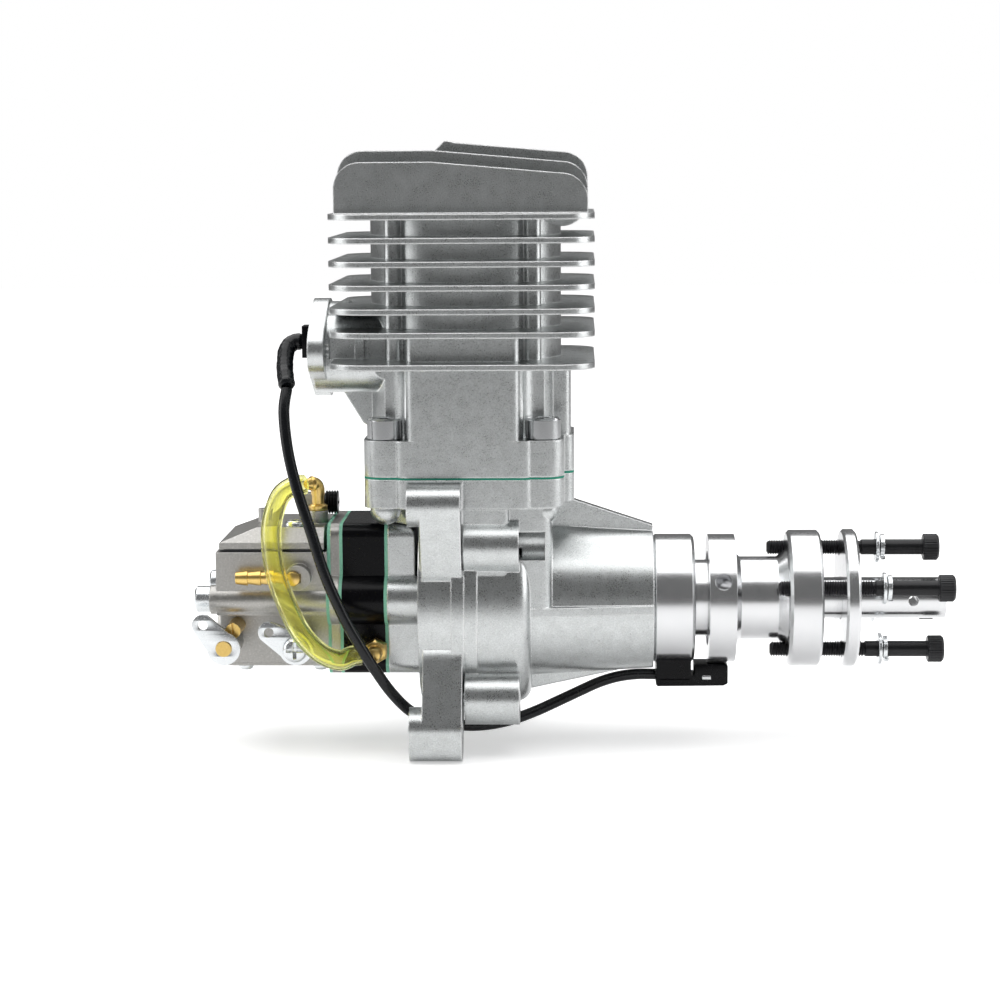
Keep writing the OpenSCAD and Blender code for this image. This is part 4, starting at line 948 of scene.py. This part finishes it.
@dataclass
class SensorLead:
    """Ignition sensor's cable, its heat-shrink sleeve and the plug tucked into the exhaust."""

    wardrobe: Wardrobe
    diameter: float = 3.5
    route: list[Point] = field(default_factory=lambda: [
        (76.95, 0, -24.9), (71, 0, -24.9), (65, 0, -25.7), (59, -1, -27.3), (53, -3, -29.6),
        (46, -6, -32.3), (39, -9, -34.9), (32, -12, -36.9), (24.5, -15, -38), (17, -17.5, -37.9),
        (8.5, -18.5, -36.6), (3, -20.5, -34.4), (-1.5, -24, -31), (-6.3, -28.5, -24.6),
        (-10.5, -31.8, -17.5), (-13.7, -33.5, -11.8), (-19.6, -34.8, -0.8), (-25.5, -35, 13),
        (-30, -33.5, 27), (-34, -31.5, 39), (-37, -29, 51), (-38.4, -26, 62.5),
        (-37.8, -22.5, 69.5)])
    sleeve: list[Point] = field(default_factory=lambda: [
        (-37.7, -22, 70.3), (-38.6, -18.4, 73.2), (-39.2, -14.4, 76.3), (-39, -10.5, 80.8),
        (-37, -8.6, 83), (-34.1, -8.4, 83.2)])
    sleeve_wall: float = 0.86
    plug_low: Point = (-34.0, -12.4, 78.4)
    plug_high: Point = (-21.0, -4.4, 88.4)
    plug_ways: int = 3
    plug_pitch: float = 2.7

    def _curve(self) -> Object:
        """Makes the cable as one open curve."""
        data = bpy.data.curves.new("sensor_cable_run", "CURVE")
        data.dimensions = "3D"
        data.bevel_depth = self.diameter / 2 * MM
        data.bevel_resolution = 5
        data.resolution_u = 8
        data.use_fill_caps = True
        spline = data.splines.new("BEZIER")
        points = metres(self.route)
        last = len(points) - 1
        spline.bezier_points.add(last)
        for i, p in enumerate(points):
            slope = (points[min(i + 1, last)] - points[max(i - 1, 0)]) / 6
            knot = spline.bezier_points[i]
            knot.handle_left_type = "FREE"
            knot.handle_right_type = "FREE"
            knot.co = p
            knot.handle_left = p - slope
            knot.handle_right = p + slope
        return placed("sensor_cable_run", data)

    def _sleeve(self) -> Object:
        """Makes the shrunk sleeve with its soft folds and drawn-in ends."""
        path = spline_points(self.sleeve, 10)
        count = len(path) - 1
        radii = []
        for i in range(count + 1):
            t = i / count
            ends = min(1.0, 0.72 + 5 * min(t, 1 - t))
            fold = 0.05 * math.sin(37 * t) + 0.04 * math.sin(91 * t + 1)
            radii.append((self.diameter / 2 + self.sleeve_wall) * ends + fold)
        return Shape().tube(path, radii, 24).build("shrink_sleeve")

    def _plug(self) -> Object:
        """Makes the plug housing with its collar, a rib for each way and a latch."""
        (x0, y0, z0), (x1, y1, z1) = self.plug_low, self.plug_high
        shape = Shape()
        shape.block((x0 + 1.6, y0 + 0.5, z0 + 0.5), (x1, y1 - 0.5, z1 - 0.5))
        shape.block((x0, y0, z0), (x0 + 2.6, y1, z1))
        for k in range(self.plug_ways):
            z = z0 + 1.5 + k * self.plug_pitch
            shape.block((x0 + 4, y0, z), (x1 - 2.4, y0 + 1.2, z + 1.2))
        shape.block((x0 + 3.4, y0 + 2.2, z1 - 0.8), (x0 + 9.4, y1 - 2.2, z1))
        return shape.build("plug_housing", 0.22)

    def build(self) -> None:
        cable = self._curve()
        sleeve = self.wardrobe.piece(self._sleeve(), "black_rubber", "cable_sleeve")
        plug = self.wardrobe.piece(self._plug(), "black_plastic", "cable_plug")
        self.wardrobe.piece(cable, "black_rubber", "sensor_cable")


@dataclass
class Sensor:
    """Ignition sensor's moulded housing with its window and side rib."""

    wardrobe: Wardrobe
    low: Point = (77.0, -5.0, -28.0)
    high: Point = (100.0, 5.0, -24.45)
    pad_x: float = 89.2
    pad_top: float = -20.8
    window: Flat = (2.8, 1.3)

    def _housing(self) -> Object:
        """Makes the housing: a flat bar with a raised pad under the trigger ring."""
        (x0, y0, z0), (x1, y1, z1) = self.low, self.high
        profile = [(x0, z0 + 0.6), (x0 + 0.6, z0), (x1 - 1.4, z0 + 0.2), (x1, z0 + 0.9),
                   (x1, self.pad_top - 0.5), (x1 - 0.5, self.pad_top),
                   (self.pad_x, self.pad_top), (self.pad_x, z1), (x0, z1)]
        rib = rectangle(x0 + 1.2, z0 + 0.9, self.pad_x - 1.2, z1 - 0.6)
        shape = Shape().plate(profile, y0 + 0.25, y1 - 0.25, upright)
        return shape.plate(rib, y0, y0 + 0.6, upright).build("sensor_housing", 0.3, 3)

    def _window(self) -> Object:
        """Makes the small metal window in the housing's side."""
        x, y, z = self.pad_x + 2.6, self.low[1], self.low[2] + 2.3
        edge = rectangle(x, z, x + self.window[0], z + self.window[1])
        return Shape().plate(edge, y + 0.1, y + 0.6, upright).build("sensor_window", 0.1)

    def build(self) -> None:
        """Makes the sensor."""
        self.wardrobe.piece(self._housing(), "black_plastic", "sensor_body")
        self.wardrobe.piece(self._window(), "steel")


@dataclass
class PulseLine:
    """Clear hose from the elbow on the pump cover to the hex fitting on the block."""

    wardrobe: Wardrobe
    hose_r: float = 3.25
    bore_r: float = 2.0
    route: list[Point] = field(default_factory=lambda: [
        (-34.5, -9, 38), (-38, -11.4, 37.6), (-41.5, -14, 34.8), (-43.5, -19, 28),
        (-43.3, -24, 21), (-41.5, -28.5, 12.5), (-38, -32, 4), (-33.4, -34.2, -4.8),
        (-27.5, -34, -11.2), (-22, -30.7, -14.2), (-18.5, -27.6, -13.6), (-15.6, -26.9, -13.2)])
    elbow_at: Point = (-30.5, -5.0, 38.0)
    bend_r: float = 1.9
    fitting_at: Point = (-11.4, -18.05, -13.2)
    hex_flat: float = 3.46

    def _hose(self) -> Object:
        """Makes the hollow hose."""
        path = spline_points(self.route, 8)
        return Shape().tube(path, self.hose_r, 32, self.bore_r).build("clear_hose")

    def _elbow(self) -> Object:
        """Makes the elbow: turned foot, bend and barbed end."""
        x, y, z = self.elbow_at
        r = self.bend_r
        foot = BOSS_TOP - z
        shape = Shape().turn([
            (foot - 4.9, 1.7), (foot, 1.7), (foot + 0.05, 2.9), (foot + 0.2, 3.0),
            (foot + 1.5, 3.0), (foot + 1.95, 2.5), (foot + 2.05, 1.95), (foot + 4.6, 1.95),
            (foot + 5.2, 2.2), (-1.4, 2.2)], self.elbow_at, (0, 0, 1), 32)
        steps = 12
        bend = []
        for i in range(steps + 1):
            a = math.pi / 2 * i / steps
            reach = r * (1 - math.cos(a))
            bend.append(Vector((x, y, z - r)) + Vector((0, 0, r * math.sin(a)))
                        + Vector((-reach, -reach, 0)) * DIAGONAL)
        shape.tube(bend, 2.1, 24)
        shape.turn([(1.2, 2.1), (2.0, 2.1), (2.1, 2.45), (2.4, 2.45), (3.2, 1.6), (3.3, 2.0),
                    (4.4, 1.55), (4.9, 1.4)], self.elbow_at, (-DIAGONAL, -DIAGONAL, 0), 32)
        return shape.build("pulse_elbow_brass")

    def _fitting(self) -> Object:
        """Makes the hex fitting with its side barb."""
        x, y, z = self.fitting_at
        flat = hexagon(self.hex_flat)
        shape = Shape().turn([
            (0.0, 3.4), (0.35, 3.5), (0.7, flat), (4.8, flat), (5.4, 3.3), (5.6, 2.4),
            (8.0, 2.4), (9.6, 2.35), (10.4, 1.9), (10.7, 0.9)], self.fitting_at, (0, -1, 0))
        shape.turn([(0.0, 2.05), (1.4, 2.05), (1.6, 1.7), (3.0, 2.05), (3.1, 1.7), (3.6, 1.8)],
                   (x, y - 8.8, z), (-1, 0, 0), 32)
        return shape.build("pulse_fitting_brass")

    def build(self) -> None:
        """Makes the line."""
        self.wardrobe.piece(self._hose(), "clear_yellow_hose", "pulse_hose")
        self.wardrobe.piece(self._elbow(), "brass", "pulse_elbow")
        self.wardrobe.piece(self._fitting(), "brass", "pulse_nipple")


@dataclass
class Carburettor:
    """Levers, screws, springs and fuel pipe of the carburettor."""

    wardrobe: Wardrobe
    coils: CoilTree
    lever_y: float = -26.5
    lever_t: float = 1.4
    arm: float = 9.8
    throttle_angle: float = 148
    choke_angle: float = 131
    idle_at: Point = (-24.7, 3.5, 30.8)
    idle_wire: float = 0.48
    idle_spring_x: float = -31.95
    knob_rings: int = 5
    knob_start: float = -4.3
    knob_pitch: float = 0.86
    pipe_root: Point = (-34.8, -23.5, 10.5)
    cover_screw: Point = (-37.2, -12.0, 25.3)
    meter_x: Flat = (-54.0, -30.0)
    meter_y: Flat = (-8.5, 15.0)
    meter_z: float = -19.8
    spring_r: float = 3.2
    spring_wire: float = 0.38
    spring_turns: float = 1.5

    def _lever(self, name: str, x: float, angle: float) -> Object:
        """Makes a lever plate with rounded rim.

        Args:
            name: the piece's name.
            x: place of its shaft.
            angle: direction of the arm in degrees.

        Returns:
            The lever.
        """
        a = math.radians(angle)
        tip = (self.arm * math.cos(a), self.arm * math.sin(a))
        return Shape().plate(
            lever_edge(tip, 5.2, 3.4), self.lever_y, self.lever_y + self.lever_t,
            lambda u, v, w: (x + u, w, THROAT_Z + v),
            [circle(*tip, 1.5), circle(0, 0, 2.42)]).build(name, 0.18)

    def _throttle_screw(self) -> Object:
        """Makes the pan-head cross screw on the throttle shaft."""
        floor = 0.6
        slot = recess(2.7, 0.55, 4)
        return Shape().turn([
            (0.6, 3.3), (0.75, 3.85), (1.9, 3.85), (2.6, 3.4), (3.05, 2.6),
            (3.15, lambda a: max(slot(a), floor) + 0.05), (1.7, slot), (1.2, floor)],
            (THROTTLE_X, self.lever_y, THROAT_Z), (0, -1, 0), 96).build("throttle_pan_screw")

    def _idle_screw(self) -> Object:
        """Makes the idle screw with its ringed, slotted knob."""
        profile: list[tuple[float, Radius]] = [
            (-13.0, 1.0), (-12.6, 1.45), (-4.6, 1.45), (-4.55, 2.6), (-4.3, 3.1)]
        for k in range(self.knob_rings):
            start = self.knob_start + k * self.knob_pitch
            profile += [(start + 0.18, 3.3), (start + 0.3, 3.75), (start + 0.7, 3.75),
                        (start + 0.82, 3.3)]
        slot = recess(2.2, 0.45, 2)
        profile += [(-0.1, 2.7), (0.0, slot), (-1.0, slot), (-1.0, 0.3)]
        return Shape().turn(profile, self.idle_at, (1, 0, 0), 72).build("idle_knob")

    def _idle_spring(self) -> Object:
        """Makes the coil spring of the idle screw."""
        coil = self.coils.coil(2.05, self.idle_wire, 2.6, 2.1, 10, 0.0, 28)
        move = Matrix.Translation((self.idle_spring_x, *self.idle_at[1:])) @ ALONG_X
        return Shape().absorb(coil, move).build("idle_coil_spring")

    def _covers(self) -> Object:
        """Makes the cross-head screws of both covers."""
        up = (0, 0, 1)
        shape = Shape().turn([(-5.4, 1.3), (-5.1, 1.6), (0.1, 1.6)], self.cover_screw, up, 24)
        shape.pan_head(self.cover_screw, up, 3.2, 1.8)
        for x in self.meter_x:
            for y in self.meter_y:
                shape.pan_head((x, y, self.meter_z), (0, 0, -1), 2.4, 1.6)
        return shape.build("cover_cross_screws")

    def _return_spring(self) -> Object:
        """Makes the wire spring round the throttle shaft, with its leg turned up."""
        r, x, z = self.spring_r, THROTTLE_X, THROAT_Z
        front = self.lever_y + self.lever_t + 0.5
        pitch = 2 * self.spring_wire + 0.04
        steps = 48
        path = []
        for i in range(steps + 1):
            turns = self.spring_turns * i / steps
            a = -TAU * turns
            path.append(Vector((x + r * math.cos(a), front + pitch * turns, z + r * math.sin(a))))
        rear = path[-1].y
        for dx, dy, dz in ((0, 0, 1.6), (0, 0, 4.2), (0.5, 0.4, 5.4), (1.3, 1.4, 6.2)):
            path.append(Vector((x - r + dx, rear + dy, z + dz)))
        return Shape().tube(path, self.spring_wire, 10).build("throttle_return_spring")

    def _fuel_pipe(self) -> Object:
        """Makes the fuel pipe with turned barbs and its root."""
        x, y, z = self.pipe_root
        shape = Shape().turn([
            (0.0, 1.5), (0.1, 1.9), (3.9, 2.4), (4.0, 1.95), (4.3, 1.95), (8.0, 2.4),
            (8.1, 1.95), (8.4, 1.95), (12.0, 2.35), (12.1, 1.75), (20.2, 1.75)],
            (x - 20, y, z), (1, 0, 0), 32)
        shape.turn([(0.0, 2.2), (2.4, 2.35), (3.0, 2.1), (3.4, 1.2)], (x - 1.8, y + 0.2, z),
                   (0, -1, 0), 32)
        return shape.build("fuel_pipe_barbed")

    def build(self) -> None:
        """Makes and dresses the carburettor's fine pieces."""
        w = self.wardrobe
        for body, x, angle in (("throttle", THROTTLE_X, self.throttle_angle),
                               ("choke", CHOKE_X, self.choke_angle)):
            w.piece(self._lever(body + "_lever_plate", x, angle), "zinc_plate",
                    body + "_lever", body)
        w.piece(self._throttle_screw(), "zinc_plate", "throttle_screw", "throttle")
        w.piece(self._idle_screw(), "black_plastic", "idle_screw")
        w.piece(self._idle_spring(), "steel", "idle_spring")
        w.piece(self._fuel_pipe(), "brass", "fuel_nipple")
        w.piece(self._covers(), "zinc_plate", "cover_screws")
        w.piece(self._return_spring(), "steel")


@dataclass(frozen=True)
class CapScrew:
    """Socket screw: lengths, radii, thread, and half the hexagon's width across flats."""

    axis: Point
    shank_r: float
    shank: float
    thread: float
    pitch: float
    head_r: float
    head_h: float
    socket: float
    knurl: float = 0.0

    def make(self, coils: CoilTree) -> Object:
        """Makes the screw with the underside of its head at the origin.

        Args:
            coils: the tree that makes the thread.

        Returns:
            The screw.
        """
        origin = (0, 0, 0)
        r, h, hexa = self.head_r, self.head_h, hexagon(self.socket)
        rim = knurled(r, self.knurl, 32)
        shape = Shape().turn([
            (0.0, r - 0.35), (0.3, rim), (h - 0.6, rim), (h, r - 0.65), (h, self.socket * 1.3),
            (h - 0.25, hexa), (h * 0.45, hexa), (h * 0.35, self.socket * 0.4)], origin,
            self.axis, 192 if self.knurl else 72)
        core = self.shank_r - 0.55 * self.pitch
        tip = -self.shank
        shape.turn([(tip, core - 0.5), (tip + 0.6, core), (tip + self.thread, core),
                    (tip + self.thread + 0.4, self.shank_r), (0.2, self.shank_r)], origin,
                   self.axis, 32)
        side, up, main = basis(Vector(self.axis))
        turn = Matrix((side, up, main)).transposed().to_4x4()
        cut = self.thread - 0.8
        coil = coils.coil(core - 0.02, 0.62 * self.pitch, cut / self.pitch, cut, 3, math.pi, 20)
        shape.absorb(coil, Matrix.Translation(main * (0.5 - self.shank)) @ turn)
        return shape.build("one")


@dataclass
class Fastening:
    """All socket screws and washers of the engine."""

    wardrobe: Wardrobe
    coils: CoilTree
    repeats: RepeatTree
    prop_r: float = 16.5
    prop_turn: float = 20.0
    head_x: float = 162.7
    plain_x: float = 147.5
    split_x: float = 149.8
    backoff: tuple[float, ...] = (0.0, 0.4, 0.4, 2.4)

    def _prop_places(self, x: float) -> list[Point]:
        """Returns the four propeller screw places at one distance."""
        out = []
        for i in range(4):
            a = math.radians(self.prop_turn + 90 * i)
            out.append((x, self.prop_r * math.sin(a), self.prop_r * math.cos(a)))
        return out

    def _plain_washer(self) -> Object:
        """Makes one plain washer about the X axis."""
        profile = [(0.0, 2.7), (0.0, 4.85), (0.15, 5.0), (0.85, 5.0), (1.0, 4.85), (1.0, 2.7)]
        return Shape().turn(profile, (0, 0, 0), (1, 0, 0), closed=True).build("one")

    def _split_washer(self, radius: float, half: float) -> Object:
        """Makes one split washer about the X axis.

        Args:
            radius: middle radius.
            half: half the side of its square section.

        Returns:
            The washer.
        """
        coil = self.coils.coil(radius, half * 1.414, 0.955, half * 0.9, 4, math.pi / 4, 48)
        return Shape().absorb(
            coil, Matrix.Translation((-half * 0.45, 0, 0)) @ ALONG_X).build("one")

    def build(self) -> None:
        """Makes and dresses the fasteners."""
        heads = [(x + back, y, z) for (x, y, z), back in zip(self._prop_places(self.head_x),
                                                             self.backoff)]
        rows = (
            ("case_screws", CapScrew((1, 0, 0), 2.5, 22.8, 10, 0.8, 4.2, 5, 2.0),
             [(28.8, y, z) for y in (-27, 27) for z in (21, -27)], "steel", "case_bolts",
             "engine"),
            ("cylinder_screws", CapScrew((0, 0, 1), 3.0, 23, 10, 1.0, 5.5, 6.6, 2.5),
             [(17 + x, y, 54) for x in (-24.5, 24.5) for y in (-23, 23)], "steel",
             "cylinder_bolts", "engine"),
            ("carb_screws", CapScrew((-1, 0, 0), 2.5, 62.5, 12, 0.8, 4.2, 5, 2.0),
             [(-63.5, y, 2.5) for y in (-16, 16)], "zinc_plate", "carb_bolts", "engine"),
            ("propeller_screws", CapScrew((1, 0, 0), 2.5, 50, 30, 0.8, 4.25, 5, 2.0, 0.16),
             heads, "black_oxide", "prop_bolts", "crankshaft"))
        for name, screw, places, finish, node, body in rows:
            axis = tuple(abs(n) for n in screw.axis)
            done = self.repeats.spread(name, screw.make(self.coils), places, axis)
            self.wardrobe.piece(done, finish, node, body)
        for name, maker, x, node in (
                ("plain_washers", self._plain_washer, self.plain_x, "flat_washers"),
                ("split_washers", lambda: self._split_washer(3.5, 0.62), self.split_x,
                 "spring_washers")):
            done = self.repeats.spread(name, maker(), self._prop_places(x), (1, 0, 0))
            self.wardrobe.piece(done, "zinc_plate", node, "crankshaft")


def main() -> None:
    """Builds the classes in order."""
    logging.basicConfig(level=logging.INFO, format="%(message)s")
    Studio().build()
    wardrobe = Wardrobe()
    SensorLead(wardrobe).build()
    Sensor(wardrobe).build()
    PulseLine(wardrobe).build()
    coils = CoilTree()
    repeats = RepeatTree()
    Carburettor(wardrobe, coils).build()
    Fastening(wardrobe, coils, repeats).build()
    wardrobe.dress_nodes()
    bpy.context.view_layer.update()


if __name__ == "__main__":
    main()
